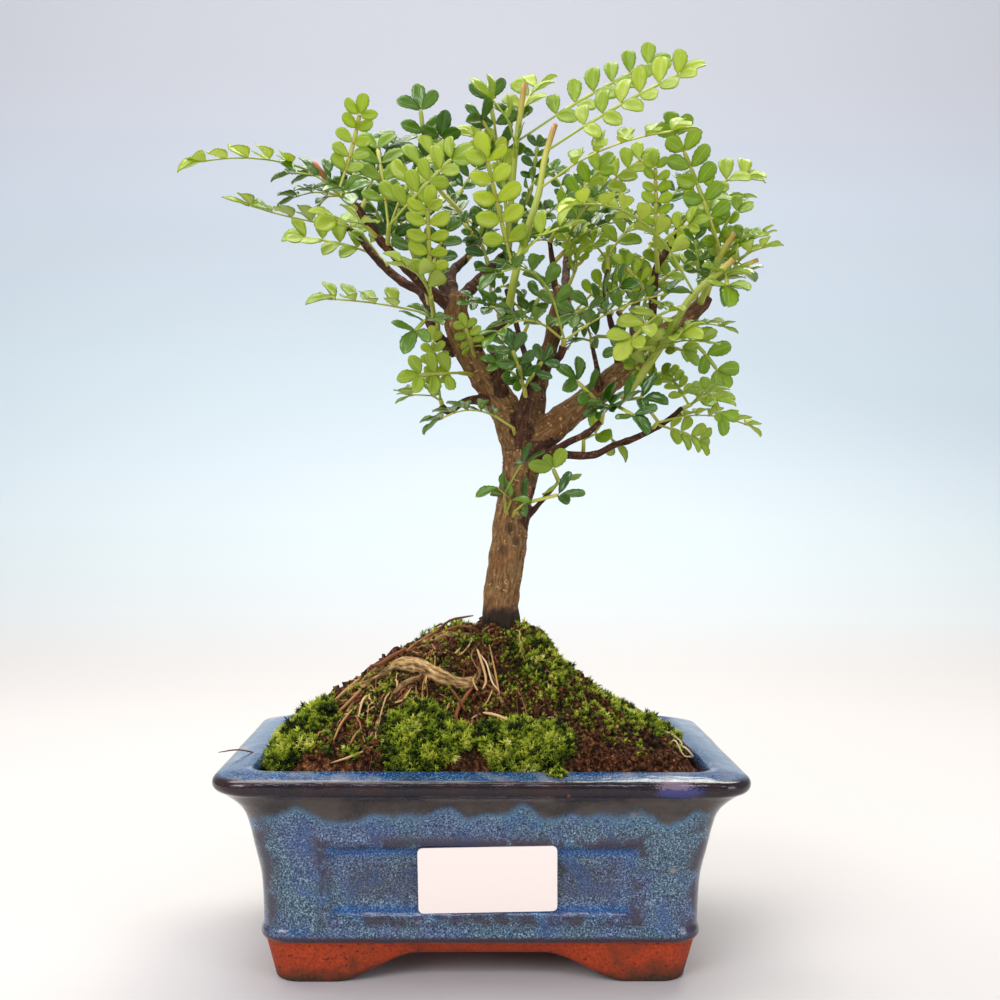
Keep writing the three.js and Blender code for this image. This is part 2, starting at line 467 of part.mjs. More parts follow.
function buildSoil(wood) {
  const columns = [-0.45, 0.45];
  const ringAt = (z, step) => (
    wallRing(z, rimLength / 2 + step - gap, rimDepth / 2 + step - gap, 7, columns, () => 0, 2));
  const edge = ringAt(soilEdge, -9.8);
  const top = [0.94, 0.76, 0.58, 0.4, 0.24].map((part) => edge.map((p) => {
    const x = trunkX + (p.x - trunkX) * part;
    return new THREE.Vector3(x, p.y * part, moundHeight(x, p.y * part));
  }));
  const soil = loft([ringAt(floorTop + gap, -17.5), ringAt(20, -15.4), ringAt(58, -9.9), edge, ...top]);
  return mainBody(soil.subtract(wood));
}

// A clump that swells from the mound, before the soil under it is cut away
function mossDome({ x, y, halfX, halfY, thick }) {
  const place = (part, turn, lift) => {
    const ragged = part * (1 + 0.1 * Math.sin(3 * turn + x) + 0.07 * Math.sin(5 * turn + y));
    const px = x + halfX * ragged * Math.cos(turn);
    const py = y + halfY * ragged * Math.sin(turn);
    return new THREE.Vector3(px, py, moundHeight(px, py) + lift);
  };
  const rows = [[0.6, -6], [1, -2], [1, 0.5 * thick], [0.6, thick]];
  return loft(rows.map(([part, lift]) => (
    Array.from({ length: 11 }, (_, k) => place(part, (k / 11) * 2 * Math.PI, lift)))));
}

// The blade's outline from its foot (0) along the stalk and to the side, counterclockwise. With an
// extra it is the plain outline around the leaflets that neighbours keep clear of.
function leafOutline(length, pairs, extra) {
  const firstPair = 0.24 * length;
  const lastPair = 0.8 * length;
  const tipReach = length - lastPair;
  const spacing = (lastPair - firstPair) / (pairs - 1);
  const reach = THREE.MathUtils.clamp(1.1 * spacing, 5.5, 7.5);
  const width = Math.min(0.85 * spacing, 0.85 * reach);
  const side = [new THREE.Vector2(-extra, stalkHalfWidth + extra)];
  for (let k = 0; k < pairs && !extra; k += 1) {
    const angle = THREE.MathUtils.degToRad(64 - (12 * k) / pairs);
    const out = new THREE.Vector2(Math.cos(angle), Math.sin(angle));
    const forward = new THREE.Vector2(Math.sin(angle), -Math.cos(angle));
    const root = new THREE.Vector2(firstPair + k * spacing, 0);
    side.push(
      root.clone().add(new THREE.Vector2(-1, stalkHalfWidth)),
      root.clone().addScaledVector(out, 0.8 * reach).addScaledVector(forward, -width / 2),
      root.clone().addScaledVector(out, 0.9 * reach).addScaledVector(forward, width / 2),
    );
  }
  if (extra) {
    side.push(new THREE.Vector2(firstPair - 1.2, stalkHalfWidth + 2 * extra));
    [0, 0.5, 1].forEach((part) => {
      const along = THREE.MathUtils.lerp(firstPair - 0.6, lastPair + 1.5, part);
      side.push(new THREE.Vector2(along, 0.92 * reach + extra));
    });
    side.push(new THREE.Vector2(lastPair + 0.95 * reach, 0.45 * reach + 2 * extra));
  } else {
    side.push(
      new THREE.Vector2(lastPair + 1, stalkHalfWidth),
      new THREE.Vector2(lastPair + 0.62 * tipReach, Math.min(0.3 * tipReach, 2.6)),
    );
  }
  const mirrored = side.map((p) => new THREE.Vector2(p.x, -p.y));
  return [...mirrored, new THREE.Vector2(Math.max(length, side.at(-1).x) + extra, 0), ...side.reverse()];
}

// One compound leaf: a thin blade that arches from its foot on the stem to its tip
function leafBlade(foot, [, x, y, z, arch, pairs, face], extra = 0) {
  const tip = new THREE.Vector3(x, y, z);
  const chord = tip.clone().sub(foot);
  const turn = THREE.MathUtils.degToRad(face);
  const facing = new THREE.Vector3(0, -Math.sin(turn), Math.cos(turn));
  const across = chord.clone().cross(facing).normalize();
  const outward = across.clone().cross(chord).normalize();
  const crown = foot.clone().add(tip).multiplyScalar(0.5).addScaledVector(outward, 2 * arch);
  const curve = new THREE.QuadraticBezierCurve3(foot, crown, tip);
  const length = curve.getLength();
  const outline = leafOutline(length, Math.max(2, Math.round(pairs * 0.55)), extra);
  const half = bladeThickness / 2 + 1.5 * extra;
  const layers = [half, -half].map((offset) => outline.map((p) => {
    const at = THREE.MathUtils.clamp(p.x / length, 0, 1);
    const tangent = curve.getTangentAt(at);
    const normal = across.clone().cross(tangent).normalize();
    return curve.getPointAt(at)
      .addScaledVector(tangent, p.x - at * length)
      .addScaledVector(across, p.y)
      .addScaledVector(normal, offset);
  }));
  const count = outline.length;
  const index = [];
  THREE.ShapeUtils.triangulateShape(outline, []).forEach(([a, b, c]) => {
    const area = outline[b].clone().sub(outline[a]).cross(outline[c].clone().sub(outline[a]));
    const [p, q] = area > 0 ? [b, c] : [c, b];
    index.push(a, q, p, count + a, count + p, count + q);
  });
  for (let k = 0; k < count; k += 1) {
    const next = (k + 1) % count;
    index.push(k, next, count + next, k, count + next, count + k);
  }
  return solidOf(geometryOf(layers.flat(), index));
}

// A shoot with its leaves as one body. A spur, with two places, is a short straight stub.
function buildSpray({ stem, radii, leaves }, extra) {
  const path = stem.map(([x, y, z], k) => (
    [x, y, z, THREE.MathUtils.lerp(radii[0], radii[1], k / (stem.length - 1))]));
  const curve = new THREE.CatmullRomCurve3(stem.map((p) => new THREE.Vector3(...p)), false, 'centripetal');
  const shoot = stem.length > 2 ? limb(path, 5, stem.length, extra) : limb(path, 3, 1, extra);
  return leaves
    .map((leaf) => leafBlade(curve.getPointAt(leaf[0]), leaf, extra))
    .reduce((spray, blade) => spray.add(blade), shoot);
}

// A plain paper label that bridges the sunk front panel, leaning with the wall
function buildLabel() {
  const corner = 1.5;
  const shape = new THREE.Shape();
  const halfX = labelLength / 2;
  const halfY = labelHeight / 2;
  shape.absarc(halfX - corner, halfY - corner, corner, 0, Math.PI / 2);
  shape.absarc(-halfX + corner, halfY - corner, corner, Math.PI / 2, Math.PI);
  shape.absarc(-halfX + corner, -halfY + corner, corner, Math.PI, 1.5 * Math.PI);
  shape.absarc(halfX - corner, -halfY + corner, corner, 1.5 * Math.PI, 2 * Math.PI);
  const plate = new THREE.ExtrudeGeometry(shape, {
    depth: labelThickness, bevelEnabled: false, curveSegments: 3,
  });
  const label = asMesh('label', solidOf(plate), colours.paper, 0.5);
  const [low, high] = [{ z: 21.5, y: 42.55 }, { z: 41.3, y: 45.95 }];
  label.position.set(1.6, -(low.y + high.y) / 2, (low.z + high.z) / 2);
  label.rotation.set(Math.PI / 2 + Math.atan2(high.y - low.y, high.z - low.z), 0, 0);
  label.rotateZ(THREE.MathUtils.degToRad(1.2));
  return label;
}

const bonsai = new THREE.Group();
const pot = buildPot();
const wood = buildWood(0);
const woodSpace = buildWood(gap);
const soil = buildSoil(woodSpace);
bonsai.add(asMesh('pot', pot, colours.glaze, 0.25));
bonsai.add(buildLabel());
bonsai.add(asMesh('soil', soil, colours.peat, 0.95));
bonsai.add(asMesh('wood', wood, colours.bark, 0.8));

const ground = pot.add(soil);
const belowMoss = ground.add(ground.translate([0, 0, gap])).add(woodSpace);
mossClumps.forEach((clump) => {
  bonsai.add(asMesh(clump.name, mainBody(mossDome(clump).subtract(belowMoss)), colours.moss, 1));
});

// Each spray keeps clear of the wood and of the sprays before it
let taken = woodSpace;
sprays.forEach((spray) => {
  const solid = mainBody(buildSpray(spray, 0).subtract(taken));
  taken = taken.add(buildSpray(spray, gap));
  bonsai.add(asMesh(`spray_${spray.name}`, solid, colours[spray.tone], 0.4));
});

const box = new THREE.Box3().setFromObject(bonsai);
const middle = box.getCenter(new THREE.Vector3());
bonsai.position.set(-middle.x, -middle.y, -box.min.z);

export default bonsai;
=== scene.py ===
import math
import random
from functools import partial

import bmesh
import bpy
import numpy as np
from mathutils import Matrix, Vector, kdtree, noise


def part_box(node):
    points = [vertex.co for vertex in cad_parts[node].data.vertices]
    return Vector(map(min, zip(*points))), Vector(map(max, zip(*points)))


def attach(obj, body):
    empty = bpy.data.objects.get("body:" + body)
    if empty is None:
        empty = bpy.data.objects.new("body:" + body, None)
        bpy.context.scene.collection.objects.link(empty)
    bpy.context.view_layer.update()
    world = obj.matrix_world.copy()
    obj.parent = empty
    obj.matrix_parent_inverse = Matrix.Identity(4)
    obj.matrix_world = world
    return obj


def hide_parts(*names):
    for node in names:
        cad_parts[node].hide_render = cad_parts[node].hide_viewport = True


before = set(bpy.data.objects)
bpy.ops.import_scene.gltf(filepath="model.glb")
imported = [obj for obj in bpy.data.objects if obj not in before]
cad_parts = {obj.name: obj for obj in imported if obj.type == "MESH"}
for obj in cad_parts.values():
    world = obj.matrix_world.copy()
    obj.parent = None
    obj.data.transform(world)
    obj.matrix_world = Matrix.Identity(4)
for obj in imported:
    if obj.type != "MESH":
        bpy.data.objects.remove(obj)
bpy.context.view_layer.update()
scene = bpy.context.scene
dice = random.Random(11)

# Places are in millimetres from the middle of the pot's foot: x to the right, y away from the viewer
mm = 0.001
potLow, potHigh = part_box("pot")
potFoot = Vector(((potLow.x + potHigh.x) / 2, (potLow.y + potHigh.y) / 2, 0))
toFrame = Matrix.Translation(potFoot) @ Matrix.Scale(mm, 4)
print("frame loaded, pot foot at", tuple(round(v, 5) for v in potFoot))

camera = {
    "place": (-5, -403, 141),
    "turn": math.atan(0.0256),
    "tilt": -0.0016,
    "roll": math.radians(0.5),
    "lens": 45,
    "sensor": 36,
    "nearest": 0.01,
}


def makeCamera():
    data = bpy.data.cameras.new("camera")
    data.lens = camera["lens"]
    data.sensor_width = camera["sensor"]
    data.clip_start = camera["nearest"]
    eye = bpy.data.objects.new("camera", data)
    scene.collection.objects.link(eye)
    look = Matrix.Rotation(-camera["turn"], 4, "Z") @ Matrix.Rotation(math.pi / 2 + camera["tilt"], 4, "X")
    eye.matrix_world = (
        Matrix.Translation(toFrame @ Vector(camera["place"])) @ look @ Matrix.Rotation(camera["roll"], 4, "Z")
    )
    scene.camera = eye


makeCamera()


def linear(hexColour):
    channels = [int(hexColour[k : k + 2], 16) / 255 for k in (1, 3, 5)]
    return [c / 12.92 if c <= 0.04045 else ((c + 0.055) / 1.055) ** 2.4 for c in channels] + [1]


# How a kind of node is set unless a call says otherwise
usual = {
    "Math": {"operation": "MULTIPLY"},
    "VectorMath": {"operation": "MULTIPLY"},
    "MapRange": {"interpolation_type": "SMOOTHSTEP"},
}


# Adds a node. Its sockets, in their order or named in a dictionary, take a value, a hex colour, an output,
# or a node, which stands for its first output.
def addNode(tree, kind, *sockets, stops=(), **settings):
    made = tree.nodes.new("ShaderNode" + kind)
    for name, value in (usual.get(kind, {}) | settings).items():
        setattr(made, name, value)
    named = sockets[0] if sockets and isinstance(sockets[0], dict) else dict(enumerate(sockets))
    for socket, value in named.items():
        if isinstance(value, bpy.types.Node):
            value = value.outputs[0]
        if isinstance(value, bpy.types.NodeSocket):
            tree.links.new(value, made.inputs[socket])
        else:
            made.inputs[socket].default_value = linear(value) if isinstance(value, str) else value
    for k, (position, colour) in enumerate(stops):
        ramp = made.color_ramp.elements
        stop = ramp[k] if k < 2 else ramp.new(position)
        stop.position = position
        stop.color = linear(colour)
    return made


# A material from a function that adds its nodes and gives back the shader that ends them
def makeMaterial(name, look, *details):
    material = bpy.data.materials.new(name)
    material.use_nodes = True
    tree = material.node_tree
    tree.nodes.clear()
    addNode(tree, "OutputMaterial", look(partial(addNode, tree), *details))
    return material


# A grain whose lumps are about size millimetres across, drawn out along an axis where its stretch is small
def grain(node, place, size, detail=3.0, rough=0.6, stretch=None):
    if stretch:
        place = node("VectorMath", place, stretch)
    scale = 1 / (size * mm)
    return node("TexNoise", {"Vector": place, "Scale": scale, "Detail": detail, "Roughness": rough})


# Lays coats over a colour, each with its share
def coated(node, colour, coats):
    for share, coat in coats:
        colour = node("MixRGB", share, colour, coat)
    return colour


# Lets light through from behind, as thin leaves do
def litThrough(node, shader, colour, share):
    return node("MixShader", share, shader, node("BsdfTranslucent", colour))


# Stoneware fired with a running blue glaze over a dark one, on bare terracotta feet. The glaze is a thick
# glass: it is glossy, breaks brown where it is thin on ridges, and pools deep blue in the hollows.
glaze = {
    "speckle": 0.46,
    "blotch": 11,
    "runs": 16,
    # The dark upper coat ends at this height, less its long runs' depth, plus its short runs' depth
    "runTop": 57.9,
    "longRuns": 17.0,
    "shortRuns": 3.0,
    "frayed": 9.0,
    "rimFrom": 56.4,
    "clayTop": 12.6,
    "roughness": 0.1,
    "ior": 1.5,
    # Flaws on the front wall: x, height, half sizes and colour
    "flaws": [
        (55, 58.6, 6.5, 2.2, "#3d4488"), (54, 60.6, 5.5, 1.2, "#8a7480"), (24, 57.5, 0.6, 0.7, "#8a4a20"),
        (43, 51, 0.8, 0.6, "#96633c"), (55, 34, 1.1, 0.8, "#8d7b66"), (23, 34, 1.3, 2.0, "#2a2c1c"),
    ],
    "flawShare": 0.55,
    "flawsInFrontOf": -30,
}


def glazeLook(node):
    onPiece = node("TexCoord").outputs["Object"]
    place = node("VectorMath", onPiece, -potFoot, operation="ADD")
    px, py, pz = node("SeparateXYZ", place).outputs
    height = node("Math", pz, 1 / mm)
    marks = node("Attribute", attribute_name="glazeMarks")
    worn, pooled, panel = node("SeparateColor", marks.outputs["Color"]).outputs
    rimTop = marks.outputs["Alpha"]

    fine = grain(node, place, glaze["speckle"])
    broad = grain(node, place, glaze["blotch"])
    blotch = grain(node, place, 1.7 * glaze["blotch"], 2)
    violet, teal, grey, deep, pale = [
        node("ValToRGB", fine, stops=stops)
        for stops in (
            [(0.36, "#171b2e"), (0.46, "#33415f"), (0.56, "#536788"), (0.68, "#8ea5b4")],
            [(0.36, "#171c28"), (0.46, "#304557"), (0.56, "#536f82"), (0.68, "#97afb6")],
            [(0.36, "#1a1b24"), (0.47, "#333a49"), (0.58, "#4b5463"), (0.7, "#858f96")],
            [(0.36, "#0f2348"), (0.5, "#1d4680"), (0.66, "#4580ae")],
            [(0.38, "#0b1730"), (0.5, "#1a3560"), (0.6, "#33638f"), (0.7, "#7fa6ba")],
        )
    ]
    body = node("MixRGB", node("MapRange", blotch, 0.44, 0.56), violet, teal)
    body = node("MixRGB", node("Math", panel, node("MapRange", broad, 0.3, 0.6)), body, grey)
    bluer = node("MixRGB", 0.4, body, "#1f4880")
    body = node("MixRGB", node("MapRange", broad, 0.5, 0.68), body, bluer)
    body = node("MixRGB", node("Math", pooled, 0.85), body, deep)

    # The upper coat ran down from the rim in scallops, with a pale halo below them
    across = node("CombineXYZ", px, py, 0.0)
    longRuns = grain(node, across, glaze["runs"], 1)
    shortRuns = grain(node, across, glaze["runs"] / 3.5, 1)
    drop = node("Math", longRuns, -glaze["longRuns"], glaze["runTop"], operation="MULTIPLY_ADD")
    edge = node("Math", drop, node("Math", shortRuns, glaze["shortRuns"]), operation="ADD")
    ragged = node("Math", fine, 0.5, operation="SUBTRACT")
    aboveEdge = node("Math", height, edge, operation="SUBTRACT")
    aboveEdge = node("Math", aboveEdge, node("Math", ragged, glaze["frayed"]), operation="ADD")
    run = node("MapRange", aboveEdge, -0.5, 0.5)
    brown = node("ValToRGB", broad, stops=[(0.35, "#2c2521"), (0.6, "#4a4038")])
    brown = node("MixRGB", node("Math", node("MapRange", fine, 0.56, 0.7), 0.5), brown, "#4c5866")
    halo = node("Math", node("MapRange", aboveEdge, -3.8, -0.6), node("MapRange", aboveEdge, 0.5, -0.5))

    black = node("MixRGB", node("MapRange", broad, 0.45, 0.65), "#12060a", "#260f10")
    black = node("MixRGB", node("MapRange", fine, 0.6, 0.74), black, "#2a3f74")
    pale = node("MixRGB", node("Math", node("MapRange", broad, 0.5, 0.66), 0.7), pale, "#6a6f7c")
    spots = grain(node, place, 7, 2)
    patchy = node("Math", node("MapRange", fine, 0.2, 0.6), node("MapRange", spots, 0.36, 0.56))
    body = coated(node, body, [
        (run, brown),
        (node("Math", halo, 0.3), "#5885a4"),
        (node("MapRange", height, glaze["rimFrom"], glaze["rimFrom"] + 1), black),
        (node("Math", rimTop, node("MapRange", broad, 0.2, 0.4)), pale),
        (node("Math", worn, patchy), "#33212a"),
        (node("Math", node("MapRange", height, 15.0, 13.7), 0.9), "#35222a"),
    ])
    front = node("Math", py, glaze["flawsInFrontOf"] * mm, operation="LESS_THAN")
    for x, z, wide, tall, tint in glaze["flaws"]:
        offX = node("Math", node("Math", px, x * mm, operation="SUBTRACT"), 1 / (wide * mm))
        offZ = node("Math", node("Math", height, z, operation="SUBTRACT"), 1 / tall)
        away = node("VectorMath", node("CombineXYZ", offX, offZ, 0.0), operation="LENGTH").outputs["Value"]
        away = node("Math", away, node("Math", ragged, 2.2), operation="ADD")
        flaw = node("Math", node("MapRange", away, 1.15, 0.7), front)
        body = node("MixRGB", node("Math", flaw, glaze["flawShare"]), body, tint)

    # Bare iron-rich clay, scraped smooth, with dark pits and a dirty lower edge
    grit = grain(node, place, 0.9, 5, 0.7)
    stain = grain(node, place, 9)
    clay = node("ValToRGB", grit, stops=[(0.3, "#6a1f03"), (0.5, "#9d3104"), (0.72, "#b94609")])
    grime = node("Math", height, node("Math", stain, -11.0), operation="ADD")
    dirt = node("Math", node("MapRange", grime, 1.5, -5.0), node("MapRange", grit, 0.25, 0.55))
    clay = coated(node, clay, [
        (node("MapRange", stain, 0.48, 0.7), "#7a2c06"),
        (node("MapRange", grain(node, place, 1.1, 2), 0.62, 0.7), "#331710"),
        (dirt, "#2c230d"),
    ])
    line = node("Math", stain, 1.4, glaze["clayTop"] - 0.7, operation="MULTIPLY_ADD")
    glazed = node("MapRange", node("Math", height, line, operation="SUBTRACT"), -0.15, 0.15)
    rough = node(
        "MapRange", {0: glazed, "To Min": 0.85, "To Max": glaze["roughness"]}, interpolation_type="LINEAR"
    )

    # The glaze ripples, stands up a little at its grains and runs, and is drawn out along the rim
    ripple = grain(node, place, 3.2, stretch=(0.3, 0.3, 1))
    drawn = grain(node, place, 0.8, 2, stretch=(0.06, 0.06, 1))
    streaks = node("Math", drawn, node("MapRange", height, 55, 58))
    lumps = ripple
    for pattern, tall in ((fine, 0.12), (run, 0.16), (streaks, 0.7)):
        lumps = node("Math", lumps, node("Math", pattern, tall), operation="ADD")
    return node("BsdfPrincipled", {
        "Base Color": node("MixRGB", glazed, clay, body),
        "Roughness": rough,
        "Normal": node("Bump", {"Height": lumps, "Strength": 0.35, "Distance": 0.6 * mm}),
        "IOR": glaze["ior"],
    })


# Damp sphagnum peat: dark red-brown, crumbly and without gloss. Its colour follows the same grain as its
# bump, near black in the hollows between crumbs as painted shade
def peatLook(node):
    place = node("TexCoord").outputs["Object"]
    crumbs = grain(node, place, 1.3, 6, 0.72)
    patches = grain(node, place, 12, 2)
    # Painted shade: the near-black lowest stop darkens the hollows between the crumbs
    stops = [(0.34, "#070301"), (0.45, "#2a130a"), (0.56, "#693c20"), (0.7, "#bc8c60")]
    colour = node("ValToRGB", crumbs, stops=stops)
    darker = node("MixRGB", 0.6, colour, "#161207")
    return node("BsdfPrincipled", {
        "Base Color": node("MixRGB", node("MapRange", patches, 0.45, 0.62), colour, darker),
        "Normal": node("Bump", {"Height": crumbs, "Strength": 1.0, "Distance": 1.2 * mm}),
        "Roughness": 0.92,
        "Specular IOR Level": 0.15,
    })


# Feather moss: matt and lit through. Its colour runs with the shade each shoot carries, near black at the
# foot as painted shade and pale at the tips as painted light
def mossLook(node):
    shade = node("Attribute", attribute_name="shade").outputs["Fac"]
    # Painted shade and light: the lowest stops paint the shade at the shoots' foot, the highest the light on
    # their tips
    stops = [(0.0, "#040601"), (0.24, "#243006"), (0.45, "#78901c"), (0.7, "#c8cc42"), (1.0, "#f2f0a6")]
    colour = node("ValToRGB", shade, stops=stops)
    shader = node("BsdfPrincipled", {"Base Color": colour, "Roughness": 0.8, "Specular IOR Level": 0.2})
    return litThrough(node, shader, colour, 0.3)


# Grey-brown bark with fine lengthwise ridges and raised tan pores, and bare tan roots
def barkLook(node):
    place = node("Attribute", attribute_name="barkPlace").outputs["Vector"]
    marks = node("Attribute", attribute_name="woodMarks")
    root, cut, wet = node("SeparateColor", marks.outputs["Color"]).outputs
    twig = marks.outputs["Alpha"]
    ridges = grain(node, place, 0.85, 4, stretch=(1, 1, 0.3))
    bands = grain(node, place, 9, 4)
    colour, young, tan = [
        node("ValToRGB", ridges, stops=stops)
        for stops in (
            [(0.3, "#432c16"), (0.44, "#684a29"), (0.57, "#82613a"), (0.74, "#a08258")],
            [(0.3, "#1c0e08"), (0.5, "#3d2114"), (0.7, "#6b4026")],
            [(0.32, "#3a2413"), (0.45, "#7c5c34"), (0.58, "#b0905c"), (0.72, "#d2b787")],
        )
    ]
    redder = node("MixRGB", 0.42, colour, "#6b3c16")
    colour = node("MixRGB", node("MapRange", bands, 0.48, 0.62), colour, redder)
    lichen = node("MixRGB", 0.5, colour, "#59502c")
    pores = node("MapRange", grain(node, place, 1.1, 1, stretch=(0.62, 0.62, 1)), 0.64, 0.69)
    onOldWood = node("Math", 1.0, node("Math", twig, 0.7), operation="SUBTRACT")
    pores = node("Math", pores, onOldWood)
    colour = coated(node, colour, [
        (node("MapRange", bands, 0.4, 0.28), lichen),
        (twig, young),
        (node("Math", pores, 0.8), "#c39a62"),
        (root, tan),
        (node("Math", wet, 0.94), "#160e08"),
        (cut, node("ValToRGB", bands, stops=[(0.4, "#b99a68"), (0.7, "#d8c193")])),
    ])
    pitted = node("Math", ridges, node("Math", pores, 0.25), operation="ADD")
    return node("BsdfPrincipled", {
        "Base Color": colour,
        "Normal": node("Bump", {"Height": pitted, "Strength": 1.0, "Distance": 0.65 * mm}),
        "Roughness": 0.78,
        "Specular IOR Level": 0.3,
    })


# A leaf with a wax skin: glossy above, lit through from behind, with a paler rib and veins and a dark rim
leafLooks = {
    "young": {
        "dark": "#6f9a1c", "light": "#d0dc52", "rib": "#dbe182", "edge": "#587a18", "glow": "#d0dc38",
        "gloss": 0.32, "through": 0.45, "coat": 0.2,
    },
    "mature": {
        "dark": "#2b5808", "light": "#76a01c", "rib": "#8fb050", "edge": "#224a0c", "glow": "#86b224",
        "gloss": 0.26, "through": 0.25, "coat": 0.6,
    },
}


def leafLook(node, look):
    shade = node("Attribute", attribute_name="shade").outputs["Fac"]
    place = node("Attribute", attribute_name="place").outputs["Vector"]
    across, along, face = node("SeparateXYZ", place).outputs
    off = node("Math", across, operation="ABSOLUTE")
    # Nine side veins on each half rise from the rib at a slant
    slant = node("Math", node("Math", along, 9.0), node("Math", off, 2.2), operation="SUBTRACT")
    vein = node("MapRange", node("Math", node("Math", slant, 6.283), operation="SINE"), 0.72, 1.0)
    rib = node("MapRange", off, 0.075, 0.015)
    below = node("Math", 1.0, face, operation="SUBTRACT")
    colour = coated(node, node("MixRGB", shade, look["dark"], look["light"]), [
        (node("Math", vein, 0.12), look["rib"]),
        (node("Math", rib, 0.45), look["rib"]),
        (node("Math", below, 0.4), look["rib"]),
        (node("Math", node("MapRange", off, 0.86, 0.98), 0.6), look["edge"]),
    ])
    blisters = grain(node, node("TexCoord").outputs["Object"], 0.9, 2)
    grooves = node("Math", rib, node("Math", vein, 0.4), operation="ADD")
    lumps = node("Math", blisters, grooves, operation="SUBTRACT")
    shader = node("BsdfPrincipled", {
        "Base Color": colour,
        "Normal": node("Bump", {"Height": lumps, "Strength": 0.35, "Distance": 0.25 * mm}),
        "Roughness": look["gloss"],
        "IOR": 1.45,
        "Coat Weight": look["coat"],
        "Coat Roughness": 0.14,
    })
    return litThrough(node, shader, node("MixRGB", 0.6, colour, look["glow"]), look["through"])


# A smooth skin or fibre whose colour runs with the shade that each copy carries
def shadedLook(node, stops, finish):
    shade = node("Attribute", attribute_name="shade").outputs["Fac"]
    return node("BsdfPrincipled", {"Base Color": node("ValToRGB", shade, stops=stops)} | finish)


def plainLook(node, colour, roughness):
    return node("BsdfPrincipled", {"Base Color": colour, "Roughness": roughness})


glazeSkin = makeMaterial("glazed_stoneware", glazeLook)
peat = makeMaterial("damp_peat", peatLook)
mossSkin = makeMaterial("feather_moss", mossLook)
bark = makeMaterial("grooved_bark", barkLook)
leafSkin = {tone: makeMaterial(tone + "_leaf_skin", leafLook, look) for tone, look in leafLooks.items()}
# Green shoots and leaf stalks: smooth, turning red-brown at the joints and straw at a cut tip
shootSkin = makeMaterial(
    "green_shoot", shadedLook, [(0.0, "#7c9828"), (0.4, "#b3b248"), (0.7, "#a06a34"), (1.0, "#cf7f58")],
    {"Roughness": 0.45},
)
# Coated label paper: smooth, with a faint gloss
paper = makeMaterial("label_paper", plainLook, "#f3e5dd", 0.38)
# Dry stems and threads: matt, from damp brown to bleached straw
straw = makeMaterial(
    "dry_straw", shadedLook, [(0.0, "#2d1a10"), (0.35, "#7a4526"), (0.7, "#b58a58"), (1.0, "#dcc39a")],
    {"Roughness": 0.7, "Specular IOR Level": 0.25},
)
print("materials made")


# Evenly spaced places along the smooth curve through some points, each with its share of the points' run
def smoothPath(points, count):
    places = [Vector(p[:3]) for p in points]
    held = [2 * places[0] - places[1]] + places + [2 * places[-1] - places[-2]]
    fine = []
    for k in range(len(places) - 1):
        a, b, c, d = held[k : k + 4]
        before, within, after = [max(math.sqrt((q - p).length), 1e-4) for p, q in ((a, b), (b, c), (c, d))]
        leave = ((b - a) / before - (c - a) / (before + within) + (c - b) / within) * within
        arrive = ((c - b) / within - (d - b) / (within + after) + (d - c) / after) * within
        for s in range(20):
            t = s / 20
            bend = (-3 * b + 3 * c - 2 * leave - arrive) * t**2 + (2 * b - 2 * c + leave + arrive) * t**3
            fine.append((*(b + leave * t + bend), k + t))
    fine.append((*places[-1], len(places) - 1))
    table = np.array(fine)
    steps = np.linalg.norm(np.diff(table[:, :3], axis=0), axis=1)
    reached = np.concatenate([[0], np.cumsum(steps)])
    wanted = np.linspace(0, reached[-1], count)
    found = [np.interp(wanted, reached, table[:, axis]) for axis in range(4)]
    return [(Vector(row[:3]), row[3]) for row in np.array(found).T]


# Two directions across the path at each of its places, turned as little as possible
def carriedFrames(places):
    frames = []
    normal = None
    for k in range(len(places)):
        tangent = (places[min(k + 1, len(places) - 1)] - places[max(k - 1, 0)]).normalized()
        if normal is None:
            normal = tangent.orthogonal()
        normal = (normal - tangent * normal.dot(tangent)).normalized()
        frames.append((tangent, normal, tangent.cross(normal)))
    return frames


# A closed skin that starts on the first ring and is extruded from each ring to the next
def growRings(bm, rings):
    verts = [bm.verts.new(p) for p in rings[0]]
    edges = [bm.edges.new(pair) for pair in zip(verts, verts[1:] + verts[:1])]
    bmesh.ops.edgeloop_fill(bm, edges=edges)
    rows = [verts]
    for ring in rings[1:]:
        made = set(bmesh.ops.extrude_edge_only(bm, edges=edges)["geom"])
        fresh = []
        for old, place in zip(rows[-1], ring):
            new = next(e.other_vert(old) for e in old.link_edges if e.other_vert(old) in made)
            new.co = place
            fresh.append(new)
        edges = [bm.edges.get(pair) for pair in zip(fresh, fresh[1:] + fresh[:1])]
        rows.append(fresh)
    bmesh.ops.edgeloop_fill(bm, edges=edges)
    # The extrusion makes a ring's faces in an order that varies, so they are put in one order
    bm.verts.index_update()
    span = len(bm.verts)
    bm.faces.sort(key=lambda face: span * min(v.index for v in face.verts) + max(v.index for v in face.verts))
    return rows


def circleRings(places, radii, sides):
    rings = []
    turns = [2 * math.pi * k / sides for k in range(sides)]
    for place, radius, (_, normal, side) in zip(places, radii, carriedFrames(places)):
        rings.append([place + radius * (normal * math.cos(t) + side * math.sin(t)) for t in turns])
    return rings


# Puts a finished mesh in the frame and says what it stands for
def keepPiece(name, mesh, materials, nodes=()):
    piece = bpy.data.objects.new(name, mesh)
    for material in materials:
        mesh.materials.append(material)
    mesh.polygons.foreach_set("use_smooth", [True] * len(mesh.polygons))
    scene.collection.objects.link(piece)
    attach(piece, "root")
    if nodes:
        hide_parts(*nodes)


def meshOf(name, bm, outward=True):
    if outward:
        bmesh.ops.recalc_face_normals(bm, faces=bm.faces)
    bmesh.ops.transform(bm, matrix=toFrame, verts=bm.verts)
    mesh = bpy.data.meshes.new(name)
    bm.to_mesh(mesh)
    bm.free()
    return mesh


# The mesh that an object has after its modifiers
def appliedMesh(piece):
    graph = bpy.context.evaluated_depsgraph_get()
    return bpy.data.meshes.new_from_object(piece.evaluated_get(graph), depsgraph=graph)


